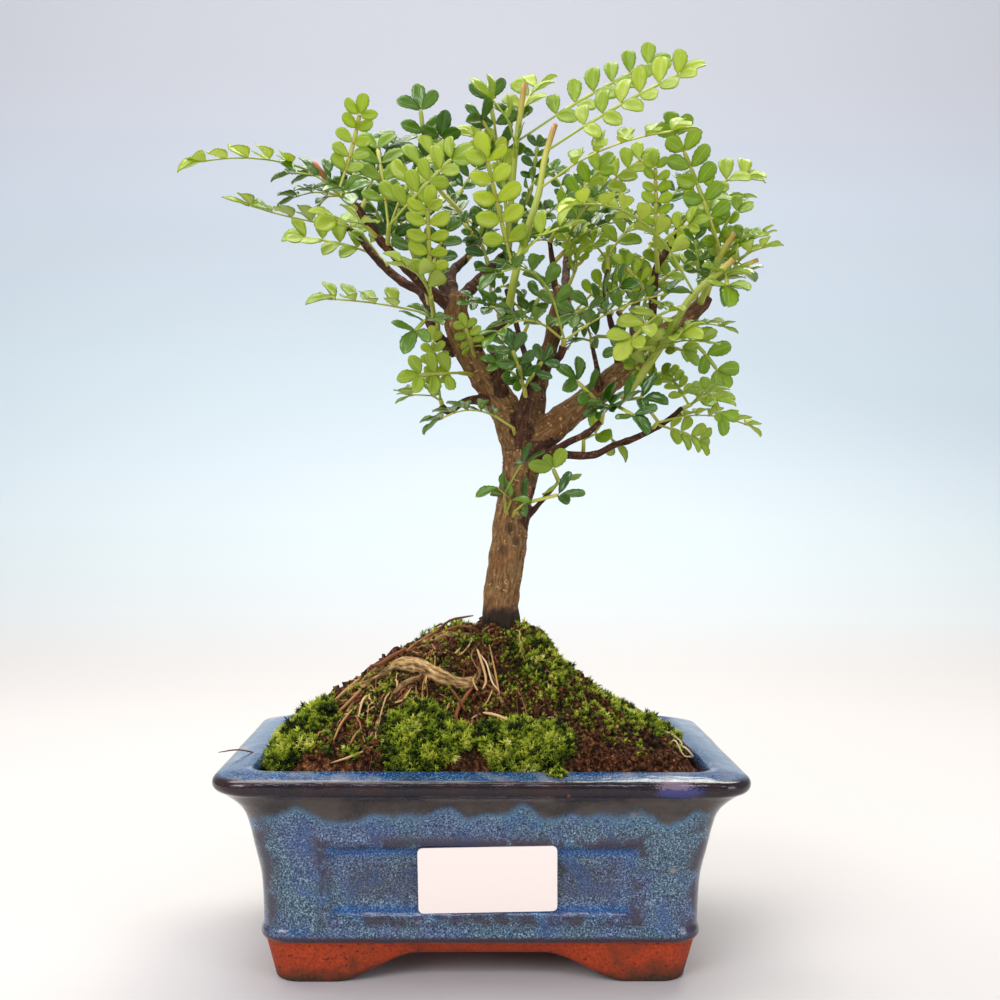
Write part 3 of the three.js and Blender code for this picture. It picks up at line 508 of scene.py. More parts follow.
# A small shape as arrays, ready to be copied many times: corners, triangles and a place for patterns
def partOf(bm):
    bmesh.ops.recalc_face_normals(bm, faces=bm.faces)
    bmesh.ops.triangulate(bm, faces=bm.faces)
    bm.verts.index_update()
    layer = bm.verts.layers.float_vector.get("place")
    part = {
        "verts": np.array([v.co[:] for v in bm.verts]),
        "faces": np.array([[v.index for v in face.verts] for face in bm.faces]),
        "places": np.array([v[layer][:] if layer else (0, 0, 0) for v in bm.verts]),
    }
    bm.free()
    return part


def newHeap():
    return {"verts": [], "faces": [], "places": [], "shades": [], "slots": [], "count": 0}


# Adds one copy of a part, moved by a matrix, with a shade for its colour and a material slot
def addCopy(heap, part, matrix=None, shade=0.0, slot=0):
    verts = part["verts"]
    if matrix is not None:
        turn = np.array(matrix.to_3x3())
        verts = verts @ turn.T + np.array(matrix.translation)
    heap["verts"].append(verts)
    heap["faces"].append(part["faces"] + heap["count"])
    heap["places"].append(part["places"])
    shades = part["shades"] + shade if "shades" in part else np.full(len(verts), shade)
    heap["shades"].append(np.clip(shades, 0, 1))
    heap["slots"].append(np.full(len(part["faces"]), slot))
    heap["count"] += len(verts)


def heapMesh(name, heap):
    verts = np.concatenate(heap["verts"]) * mm + np.array(potFoot)
    mesh = bpy.data.meshes.new(name)
    mesh.from_pydata(verts.tolist(), [], np.concatenate(heap["faces"]).tolist())
    mesh.polygons.foreach_set("material_index", np.concatenate(heap["slots"]).astype(np.int32))
    mesh.attributes.new("shade", "FLOAT", "POINT").data.foreach_set("value", np.concatenate(heap["shades"]))
    places = np.concatenate(heap["places"]).ravel()
    mesh.attributes.new("place", "FLOAT_VECTOR", "POINT").data.foreach_set("vector", places)
    return mesh


# The pot: a flared rectangular bowl with a rolled rim, a framed panel in each wall and four corner feet
pot = {
    "rimLength": 150,
    "rimDepth": 108,
    "cornerRadius": 11,
    # The wall from its foot to the rim and down inside: height, and step out from the rim
    "outside": [
        (12.5, -11.6), (13.0, -11.0), (14.2, -10.6), (15.6, -10.7), (16.8, -11.1), (18.6, -11.1),
        (21.5, -11.1), (31, -10.6), (39.5, -8.9), (42.5, -8.3), (44.5, -7.9), (52, -5.6), (56.4, -2.1),
        (57.4, -0.7), (58.8, 0), (60.4, -0.1), (61.3, -0.8), (61.75, -2.2), (62.3, -4.3),
    ],
    "inside": [(62.95, -7.0), (62.6, -8.6), (58, -9.9), (20, -15.4), (15, -17.5)],
    "footTop": 12.5,
    "footWall": 8,
    # How far the foot starts inside the wall, and how far it leans out on its way up
    "footInset": 2.9,
    "footLean": 2.7,
    "archHeight": 8.6,
    # Where the arch below each wall springs and where it is full, from the wall's middle
    "arches": ((43, 18), (26, 10)),
    "roof": 8.9,
    "panelBottom": 19.2,
    "panelTop": 42.3,
    "panelPart": 0.7,
    "ridge": 0.5,
    "sideFlare": 2.3,
    "sunk": 0.9,
    # Above its bead the wall waves in and out by this much over this length
    "waveFrom": 16,
    "wave": 0.45,
    "waveLength": 28,
    "along": (100, 70),
    "cornerSteps": 12,
    "drainRadius": 6,
    "drainPlace": 34,
}


# Points of a rounded rectangle, each with its side and its part along it: -1 to 1 on the straight, and then
# 1 to 2 round the corner
def roundedRing(halfX, halfY, radius, along=pot["along"], cornerSteps=pot["cornerSteps"]):
    ring = []
    for side in range(4):
        length, out = (halfX, halfY) if side % 2 == 0 else (halfY, halfX)
        turned = Matrix.Rotation(side * math.pi / 2, 2)
        for k in range(along[side % 2] + 1):
            x = (2 * k / along[side % 2] - 1) * (length - radius)
            ring.append((turned @ Vector((x, -out)), side, x / length))
        for k in range(1, cornerSteps):
            turn = -math.pi / 2 + math.pi / 2 * k / cornerSteps
            middle = Vector((length - radius, radius - out))
            corner = middle + radius * Vector((math.cos(turn), math.sin(turn)))
            ring.append((turned @ corner, side, 1 + k / cornerSteps))
    return ring


def smoothStep(low, high, value):
    t = min(1, max(0, (value - low) / (high - low)))
    return t * t * (3 - 2 * t)


def archHeight(place, side):
    across = abs(place.x) if side % 2 == 0 else abs(place.y)
    return pot["archHeight"] * smoothStep(*pot["arches"][side % 2], across)


# How far a place lies inside the panel's frame, in millimetres
def panelDepth(part, length, z):
    side = (pot["panelPart"] - abs(part)) * length
    return min(side, pot["panelTop"] - z, z - pot["panelBottom"])


def makePot():
    halfX, halfY = pot["rimLength"] / 2, pot["rimDepth"] / 2
    outer = [p for p, _ in smoothPath([(step, 0, z) for z, step in pot["outside"]], 84)]
    inner = [p for p, _ in smoothPath([(step, 0, z) for z, step in pot["inside"]], 36)]
    rings = []
    marks = []

    # The rim leans out further at the two short sides
    def addRing(z, step, radius, lift, mark, flare=0):
        ring = roundedRing(halfX + step + flare, halfY + step, radius)
        rings.append([])
        marks.append([])
        for place, side, part in ring:
            height = z if lift is None else lift(archHeight(place, side))
            relief, colour = mark(part, side, height)
            normal = Matrix.Rotation(side * math.pi / 2, 2) @ Vector((0, -1))
            out = place + normal * relief
            rings[-1].append((out.x, out.y, height))
            marks[-1].append(colour)

    def bare(part, side, height):
        return 0.0, (0, 0, 0, 0)

    def glazed(part, side, height):
        length = (halfX if side % 2 == 0 else halfY) - 10
        depth = panelDepth(part, length, height)
        relief = pot["ridge"] * math.exp(-((depth / 1.5) ** 2)) - pot["sunk"] * smoothStep(0.6, 3.2, depth)
        corner = math.exp(-(((part - 1.5) / 0.3) ** 2))
        worn = max(math.exp(-((depth / 2.1) ** 2)) * 0.95, corner * smoothStep(57, 53, height))
        drop = min(pot["panelTop"] - height, height - pot["panelBottom"])
        pooled = smoothStep(1.0, 2.2, depth) * (1 - smoothStep(3.2, 5.2, drop))
        centre = smoothStep(4, 8, depth)
        return relief, (worn, pooled, centre, 0)

    # From the roof below the floor, down the foot's inside, under it and up its outside
    wall = pot["footWall"]
    base = pot["outside"][0][1] - pot["footInset"]
    foot = pot["footTop"]
    chamfer = 0.5
    addRing(pot["roof"], base - wall - 1.4, 2.5, None, bare)
    addRing(0, base - wall - 0.4, 3, lambda arch: max(arch + 0.9, min(arch + 2.5, pot["roof"] - 0.1)), bare)
    for step, radius, lift in ((-wall, 3, chamfer), (0.6 - wall, 3.5, 0), (-0.7, 7.4, 0), (-0.1, 8, chamfer)):
        addRing(0, base + step, radius, lambda arch, lift=lift: arch + lift, bare)
    for part in [k / 9 for k in range(1, 9)]:
        addRing(
            0, base + pot["footLean"] * part, 8.7,
            lambda arch, part=part: arch + chamfer + (foot - arch - chamfer) * part, bare,
        )
    for place in outer:
        radius = pot["cornerRadius"] + 0.2 * place.x
        rimTop = smoothStep(-0.8, -2.0, place.x) * smoothStep(60.2, 61.2, place.z)

        def skin(part, side, height, rimTop=rimTop):
            relief, (worn, pooled, centre, _) = glazed(part, side, height)
            return relief, (worn, pooled, centre, rimTop)

        addRing(place.z, place.x, radius, None, skin, pot["sideFlare"] * smoothStep(48, 59.5, place.z))
    for place in inner:

        def innerSkin(part, side, height, rimTop=smoothStep(59.5, 62.0, place.z)):
            return 0.0, (0, 0, 0, rimTop)

        flare = pot["sideFlare"] * smoothStep(-9.6, -4.5, place.x)
        addRing(place.z, place.x, 9 + 0.2 * place.x, None, innerSkin, flare)

    bm = bmesh.new()
    layer = bm.verts.layers.float_color.new("glazeMarks")
    rows = growRings(bm, rings)
    for row, colours in zip(rows, marks):
        for vert, colour in zip(row, colours):
            vert[layer] = colour
            if vert.co.z > pot["waveFrom"]:
                outward = Vector((vert.co.x, vert.co.y, 0)).normalized()
                vert.co += outward * (noise.noise(Vector(vert.co) / pot["waveLength"]) * pot["wave"])
    body = bpy.data.objects.new("pot_body", meshOf("pot_body", bm))
    scene.collection.objects.link(body)

    cutter = bmesh.new()
    for x in (-pot["drainPlace"], pot["drainPlace"]):
        radius = pot["drainRadius"]
        bmesh.ops.create_cone(
            cutter, cap_ends=True, segments=48, radius1=radius, radius2=radius, depth=14,
            matrix=Matrix.Translation((x, 0, 12)),
        )
    drains = bpy.data.objects.new("drains", meshOf("drains", cutter))
    scene.collection.objects.link(drains)
    cut = body.modifiers.new("drains", "BOOLEAN")
    cut.object = drains
    cut.operation = "DIFFERENCE"
    mesh = appliedMesh(body)
    bpy.data.objects.remove(body)
    bpy.data.objects.remove(drains)
    mesh.materials.clear()
    keepPiece("pot_glazed", mesh, [glazeSkin], ["pot"])
    print("pot made,", len(mesh.polygons), "faces")


# The mound: its height from the trunk (0) to the pot's wall (1), on the left and on the right
mound = {
    "trunkX": 6,
    # How far the pot's inside lies within its rim
    "inset": 10.2,
    "left": [(0, 100), (0.2, 98.5), (0.37, 93), (0.58, 84), (0.78, 74), (0.94, 66), (1, 59.5)],
    "right": [
        (0, 101), (0.14, 99.5), (0.24, 94), (0.34, 87), (0.47, 79), (0.63, 72), (0.8, 68), (0.94, 65),
        (1, 59.5),
    ],
    "below": [(15.3, -17.8), (20, -15.7), (58, -10.2)],
    "rows": 100,
    # Broken peat: the width and height of each size of lump
    "clods": ((9.0, 1.9), (4.2, 2.1), (1.9, 1.5), (1.0, 0.6)),
    # Points along the edge's long and short sides, and round a corner
    "around": ((120, 84), 8),
}


def moundPlace(x, y):
    across = x - mound["trunkX"]
    reachX = pot["rimLength"] / 2 - mound["inset"] - math.copysign(mound["trunkX"], across)
    reachY = pot["rimDepth"] / 2 - mound["inset"]
    return across, min(1, ((abs(across) / reachX) ** 4 + (abs(y) / reachY) ** 4) ** 0.25)


def moundHeight(x, y):
    across, place = moundPlace(x, y)
    right = (1 + across / max(math.hypot(across, y), 0.001)) / 2
    slopes = [np.interp(place, *zip(*mound[side])) for side in ("left", "right")]
    # Long waves, with none at the trunk and at the wall
    lumps = math.sin(0.31 * x + 1.3) * math.sin(0.37 * y + 0.5) + 0.6 * math.sin(0.19 * x - 0.52 * y)
    return slopes[0] * (1 - right) + slopes[1] * right + 4 * place * (1 - place) * 1.5 * lumps


# The lumps of broken peat, flatter towards the pot's wall
def clodHeight(x, y):
    place = moundPlace(x, y)[1]
    height = 0
    for size, tall in mound["clods"]:
        height += tall * noise.noise(Vector((x, y, 3 * size)) / size)
    return height * (1 - 0.6 * smoothStep(0.85, 1, place))


def groundHeight(x, y):
    return moundHeight(x, y) + clodHeight(x, y)


def makeSoil():
    halfX, halfY = pot["rimLength"] / 2, pot["rimDepth"] / 2
    rings = []
    for z, step in mound["below"]:
        rings.append([(*p, z) for p, _, _ in roundedRing(halfX + step, halfY + step, 7, *mound["around"])])
    reach = mound["inset"] - 0.1
    edge = [p for p, _, _ in roundedRing(halfX - reach, halfY - reach, 7, *mound["around"])]
    for row in range(mound["rows"]):
        part = 1 - (row / (mound["rows"] - 1)) * 0.97
        ring = []
        for p in edge:
            x = mound["trunkX"] + (p.x - mound["trunkX"]) * part
            y = p.y * part
            lift = clodHeight(x, y) if row else -0.5
            ring.append((x, y, moundHeight(x, y) + lift))
        rings.append(ring)
    bm = bmesh.new()
    growRings(bm, rings)
    keepPiece("peat_mound", meshOf("peat_mound", bm), [peat], ["soil"])


# Loose crumbs of peat on the bare ground
crumbs = {
    "count": 5200,
    "smallest": 0.35,
    "largest": 1.6,
    "spread": (62, 41),
    "patch": (40, -24),
    "reach": (38, 30),
}
clods = {"count": 520, "smallest": 1.0, "largest": 2.4}


# Four stones of a kind, each shaped from a ball by a function of its corners and its number
def lumpyStones(subdivisions, reshaped):
    stones = []
    for k in range(4):
        bm = bmesh.new()
        bmesh.ops.create_icosphere(bm, subdivisions=subdivisions, radius=1)
        for vert in bm.verts:
            vert.co *= reshaped(vert.co, k)
        stones.append(partOf(bm))
    return stones


def anyTurn():
    turn = dice.uniform(0, 6.28)
    return Matrix.Rotation(turn, 4, Vector((dice.random(), dice.random(), 1)).normalized())


def makeCrumbs():
    def crumbShape(place, k):
        return 1 + 0.5 * noise.noise(place * 1.3 + Vector((7 * k, 0, 0)))

    def clodShape(place, k):
        return 1 + 0.7 * noise.noise(place * 1.6 + Vector((5 * k, 9, 0))) + 0.3 * noise.noise(place * 4)

    stones = lumpyStones(1, crumbShape)
    heap = newHeap()
    for k in range(crumbs["count"]):
        # Every other crumb lies in the bare patch, the rest anywhere
        if k % 2:
            x, y = [dice.uniform(-far, far) for far in crumbs["spread"]]
        else:
            x, y = [dice.gauss(m, far / 2) for m, far in zip(crumbs["patch"], crumbs["reach"])]
        if moundPlace(x, y)[1] > 0.97 or abs(x) > 64 or abs(y) > 43:
            continue
        size = dice.uniform(crumbs["smallest"], crumbs["largest"])
        z = groundHeight(x, y) + 0.1 * size
        turn = anyTurn()
        stretch = Matrix.Diagonal((size, size * dice.uniform(0.6, 1), size * dice.uniform(0.5, 0.9), 1))
        addCopy(heap, dice.choice(stones), Matrix.Translation((x, y, z)) @ turn @ stretch)
    # Larger clods, half buried, all over the mound
    lumps = lumpyStones(2, clodShape)
    for _ in range(clods["count"]):
        x, y = dice.uniform(-60, 60), dice.uniform(-42, 40)
        if moundPlace(x, y)[1] > 0.93:
            continue
        size = dice.uniform(clods["smallest"], clods["largest"])
        turn = anyTurn()
        stretch = Matrix.Diagonal((size, size * 0.8, size * 0.6, 1))
        z = groundHeight(x, y) - 0.15 * size
        addCopy(heap, dice.choice(lumps), Matrix.Translation((x, y, z)) @ turn @ stretch)
    keepPiece("peat_crumbs", heapMesh("peat_crumbs", heap), [peat])
    print("soil made")


# Moss clumps: the middle, half sizes across and away, and thickness. A sparse one lets the peat show.
mossClumps = [
    dict(name="moss_left", x=-56, y=-20.5, halfX=10.5, halfY=12.5, thick=5, dim=0.02),
    dict(name="moss_front_left", x=-17, y=-37, halfX=13, halfY=6.5, thick=4.8),
    dict(name="moss_front", x=12.5, y=-38, halfX=14, halfY=6.5, thick=4.8),
    dict(name="moss_slope", x=20, y=-12, halfX=8, halfY=13, thick=3, sparse=0.18),
    dict(name="moss_right", x=46, y=-4, halfX=15, halfY=9, thick=3.5, sparse=0.8),
    dict(name="moss_crest", x=-13, y=7, halfX=11, halfY=6, thick=3, sparse=0.2),
    dict(name="moss_back", x=-8, y=29, halfX=26, halfY=10, thick=4),
]
moss = {
    "perSquare": 2.6,
    "behind": 1.7,
    "shortest": 1.9,
    "longest": 3.9,
    # How far stray shoots reach past a clump's edge, and how many stand there
    "spread": 1.4,
    "strays": 9,
    # The clumps end inside the pot's wall: at the sides, in front and at the back
    "within": (65.5, -45.5, 45),
    "tufts": 116,
    "tuftShoots": 32,
    "tuftReach": 2.1,
    # Bright patches beside the clumps: x, y, reach and number of shoots
    "patches": [
        (31, -17, 3.2, 110), (38, -14, 3.2, 130), (45, -9, 3.6, 150), (51, -6, 3.2, 130), (57, -2, 3.0, 100),
        (61, -8, 2.2, 50), (60, -22, 1.8, 40), (-50, -37, 2.2, 70), (-44, -39, 2.0, 60), (-37, -40, 2.0, 50),
        (20, -42, 1.8, 70), (21, -48.2, 1.4, 80), (-30, -23, 2.0, 40), (-41, -18, 2.4, 50),
        (-26, -14, 2.0, 35), (17, -12, 2.2, 50), (24, -18, 2.6, 70), (-4, -13, 2.0, 30), (38, -33, 2.0, 24),
        (46, -37, 1.6, 20), (32, -24, 2.4, 80), (36, -26, 2.2, 60), (42, -20, 2.6, 100), (48, -22, 2.4, 80),
        (54, -21, 2.4, 80), (-46, -31, 2.4, 50), (-38, -38, 1.8, 40), (-41, -26, 2.4, 50),
        (-34, -30, 2.0, 30),
    ],
    # Low tufts between the roots on the left slope, darkened by shadedDim as painted shade
    "shaded": [
        (-44, -24, 3.0, 90), (-38, -29, 3.0, 90), (-32, -25, 3.0, 80), (-41, -34, 2.6, 70),
        (-34, -35, 2.4, 60), (-28, -29, 2.4, 60), (-46, -15, 3.0, 70), (-36, -17, 2.6, 60),
    ],
    "shadedDim": 0.2,
    # Where a patch lies before this place it spills over the front rim, at this height
    "spillsBefore": -44,
    "spillHeight": 62.4,
}


def addSpike(bm, matrix, radius, length):
    lift = Matrix.Translation((0, 0, length / 2))
    bmesh.ops.create_cone(bm, segments=3, radius1=radius, radius2=0, depth=length, matrix=matrix @ lift)


# A moss shoot 1 mm tall, as a feather: a slim stem with pairs of barbs that shorten towards its tip
def mossFeather(luck):
    bm = bmesh.new()
    addSpike(bm, Matrix.Identity(4), 0.07, 1.0)
    for k in range(4):
        height = 0.2 + 0.16 * k
        for side in (-1, 1):
            lean = Matrix.Rotation(side * math.radians(luck.uniform(40, 62)), 4, "Y")
            turn = Matrix.Rotation(luck.uniform(-0.7, 0.7), 4, "Z")
            addSpike(bm, Matrix.Translation((0, 0, height)) @ turn @ lean, 0.065, 0.44 - 0.06 * k)
    return bm


# The same as a rosette: pointed leaves in two spreading tiers on a short stem
def mossRosette(luck):
    bm = bmesh.new()
    for tier, count, lean in ((0.34, 5, 70), (0.56, 4, 44), (0.66, 2, 16)):
        for k in range(count):
            turn = Matrix.Rotation(2 * math.pi * (k + tier) / count + luck.uniform(-0.3, 0.3), 4, "Z")
            tilt = Matrix.Rotation(math.radians(lean + luck.uniform(-8, 8)), 4, "Y")
            addSpike(bm, Matrix.Translation((0, 0, tier)) @ turn @ tilt, 0.085, 0.46)
    return bm


def mossPart(bm):
    part = partOf(bm)
    verts = part["verts"]
    # Painted light and shade: each shoot is darker at its foot and paler towards its top and outer tips
    part["shades"] = -0.06 + 0.52 * verts[:, 2] + 0.62 * np.hypot(verts[:, 0], verts[:, 1])
    return part


def domeLift(part, thick):
    return thick * max(0.0, 1 - min(part, 1) ** 2.6) ** 0.5


def plantShoot(heap, foot, up, size, shoots, dim=0):
    lean = up + Vector((dice.gauss(0, 0.4), dice.gauss(0, 0.4), dice.gauss(0, 0.1)))
    matrix = (
        Matrix.Translation(foot - lean.normalized() * 0.3)
        @ lean.to_track_quat("Z", "Y").to_matrix().to_4x4()
        @ Matrix.Rotation(dice.uniform(0, 6.28), 4, "Z")
        @ Matrix.Scale(size, 4)
    )
    patch = 0.36 * noise.noise(foot / 5) + 0.34 * noise.noise(foot / 1.7)
    addCopy(heap, dice.choice(shoots), matrix, patch - dim + dice.uniform(-0.16, 0.16))


def plantTuft(heap, middle, reach, count, longest, shoots, dim=0):
    for _ in range(count):
        x, y = [m + dice.gauss(0, reach) for m in middle]
        part = moundPlace(x, y)[1]
        # Beyond the soil only the clump that spills over the front rim has shoots
        spilt = middle[1] < moss["spillsBefore"]
        if part > (1.1 if spilt else 0.95):
            continue
        height = max(groundHeight(x, y), moss["spillHeight"] if spilt else 0)
        outward = Vector((x - mound["trunkX"], y, 45)).normalized()
        plantShoot(heap, Vector((x, y, height)), outward, dice.uniform(0.9, longest), shoots, dim)


def makeMoss():
    luck = random.Random(4)
    draws = np.random.default_rng(7)
    shoots = [mossPart(made(luck)) for made in (mossFeather, mossRosette) for _ in range(3)]
    for clump in mossClumps:
        x, y, halfX, halfY, thick = [clump[key] for key in ("x", "y", "halfX", "halfY", "thick")]
        sparse = clump.get("sparse", 1.0)

        def spot(part, turn):
            ragged = part * (1 + 0.1 * math.sin(3 * turn + x) + 0.07 * math.sin(5 * turn + y))
            px, py = x + halfX * ragged * math.cos(turn), y + halfY * ragged * math.sin(turn)
            aside, front, back = moss["within"]
            px = min(max(px, -aside), aside)
            py = min(max(py, front), back)
            lumps = 0.4 * noise.noise(Vector((px, py, x)) / 2.2)
            lumps += 0.7 * noise.noise(Vector((px, py, y)) / 4.5)
            lift = domeLift(part, thick) * (0.72 + lumps) * (1 if sparse == 1 else 0.1)
            return Vector((px, py, moundHeight(px, py) + lift))

        bm = bmesh.new()
        rings = []
        turns = [2 * math.pi * k / 60 for k in range(60)]
        for part, sink in ((0.7, 4.0), (0.98, 2.2), *[(p / 14, 0) for p in range(13, 0, -1)]):
            base = [spot(part, t) for t in turns]
            if sink:
                base = [Vector((p.x, p.y, moundHeight(p.x, p.y) - sink)) for p in base]
            rings.append(base)
        growRings(bm, rings)
        heap = newHeap()
        dome = partOf(bm)
        # Painted shade: the dome under the shoots gets a dark shade, seen as shade in the gaps between them
        addCopy(heap, dome, None, 0.1)
        dense = moss["behind"] if clump["name"] == "moss_back" else moss["perSquare"] * sparse
        corners = dome["verts"][dome["faces"]]
        normals = np.cross(corners[:, 1] - corners[:, 0], corners[:, 2] - corners[:, 0])
        areas = np.linalg.norm(normals, axis=1) / 2
        chosen = draws.choice(len(areas), int(areas.sum() * dense), p=areas / areas.sum())
        for k in chosen:
            u, v = draws.random(2)
            if u + v > 1:
                u, v = 1 - u, 1 - v
            a, b, c = corners[k]
            foot = Vector(a + (b - a) * u + (c - a) * v)
            ground = moundHeight(foot.x, foot.y)
            if foot.z < ground - 0.4:
                continue
            if sparse < 1:
                foot.z = ground + max(clodHeight(foot.x, foot.y), 0.2 * (foot.z - ground))
            up = Vector(normals[k]).normalized() + Vector((0, 0, 0.3))
            size = dice.uniform(moss["shortest"], moss["longest"])
            plantShoot(heap, foot, up, size, shoots, clump.get("dim", 0))
        # Stray shoots round the clump
        for _ in range(int(0.7 * (halfX + halfY) * moss["strays"])):
            turn, part = dice.uniform(0, 2 * math.pi), 1 + (moss["spread"] - 1) * dice.random() ** 1.6
            foot = spot(part, turn)
            foot.z += max(0, clodHeight(foot.x, foot.y))
            plantShoot(heap, foot, Vector((0, 0, 1)), dice.uniform(0.8, 2.3), shoots)
        name = clump["name"]
        keepPiece(name + "_feathery", heapMesh(name + "_feathery", heap), [mossSkin], [name])

    # Small tufts between the clumps, most of them on the side towards the viewer
    heap = newHeap()
    for _ in range(moss["tufts"]):
        turn, part = dice.uniform(0, 2 * math.pi), dice.uniform(0.25, 0.93)
        if math.sin(turn) > 0 and dice.random() < 0.72:
            turn = -turn
        middle = (mound["trunkX"] + 58 * part * math.cos(turn), 42 * part * math.sin(turn))
        reach = moss["tuftReach"] * dice.uniform(0.5, 1.5)
        plantTuft(heap, middle, reach, int(moss["tuftShoots"] * reach / moss["tuftReach"]), 2.3, shoots)
    for x, y, reach, count in moss["patches"]:
        plantTuft(heap, (x, y), reach, count, 3.2, shoots)
    # Painted shade: these tufts are darkened by shadedDim
    for x, y, reach, count in moss["shaded"]:
        plantTuft(heap, (x, y), reach, count, 2.2, shoots, moss["shadedDim"])
    keepPiece("moss_tufts", heapMesh("moss_tufts", heap), [mossSkin])
    print("moss made")


# The trunk, from its foot in the soil to the fork: x, y, z and radius
trunk = [
    (6, 0, 88, 7), (6, 0, 96, 6.9), (5.9, 0, 101, 6.1), (5.8, 0, 106, 5.8), (6.4, 0, 113, 5.7),
    (7.8, 0, 123, 5.7), (8.8, 0, 132, 5.8), (10, 0, 141, 5.8), (11.8, 0, 149, 6), (12.6, 0, 156, 6.9),
    (12, 0, 162, 6.6), (11.5, 0, 166, 4.5),
]

# Roots that lie on the mound: x, y, how far the middle stands above the soil, and radius
roots = [
    [(4, -3, -5, 3), (-1, -12, -3.2, 2.4), (-3, -20, -1.2, 1.9), (-7, -23, 0.5, 1.8), (-12, -23, 1.1, 2.3),
     (-20, -18, 1.4, 2.5), (-26, -14.5, 1.2, 2.1), (-29, -12, 0.6, 1.5), (-34, -11, 0, 0.9)],
    [(2, -3, -4, 2), (-8, -4, -0.8, 1.3), (-18, -3, 0.8, 1.0), (-27, -4, 1.2, 0.8), (-35, -5, 0.8, 0.7),
     (-41, -7, 0.2, 0.6)],
    [(-9, -8, -2, 1.0), (-17, -14, -0.4, 0.9), (-28, -15, 0.9, 0.8), (-35, -17, 0.9, 0.8),
     (-42, -24, 0.2, 0.6)],
    [(3, -4, -4, 1.8), (-5, -8, -1, 1.2), (-13, -9, 0.9, 0.9), (-21, -17, 0.3, 0.7)],
    [(-18, -20, -0.5, 1.2), (-25, -24, 0.4, 0.9), (-30, -29, 0.4, 0.8), (-33, -35, 0.2, 0.7)],
    [(5, -4, -4, 1.8), (1, -12, -0.6, 1.1), (3, -19, 0.5, 0.8), (6, -26, -0.2, 0.7)],
    [(9, 2, -4, 2.2), (14, 12, -0.6, 1.6), (18, 22, 0.2, 1.2), (20, 31, 0, 0.9)],
    [(3, 3, -4, 2.2), (-8, 12, -0.5, 1.5), (-20, 17, 0.3, 1.2), (-30, 26, 0, 0.9)],
]

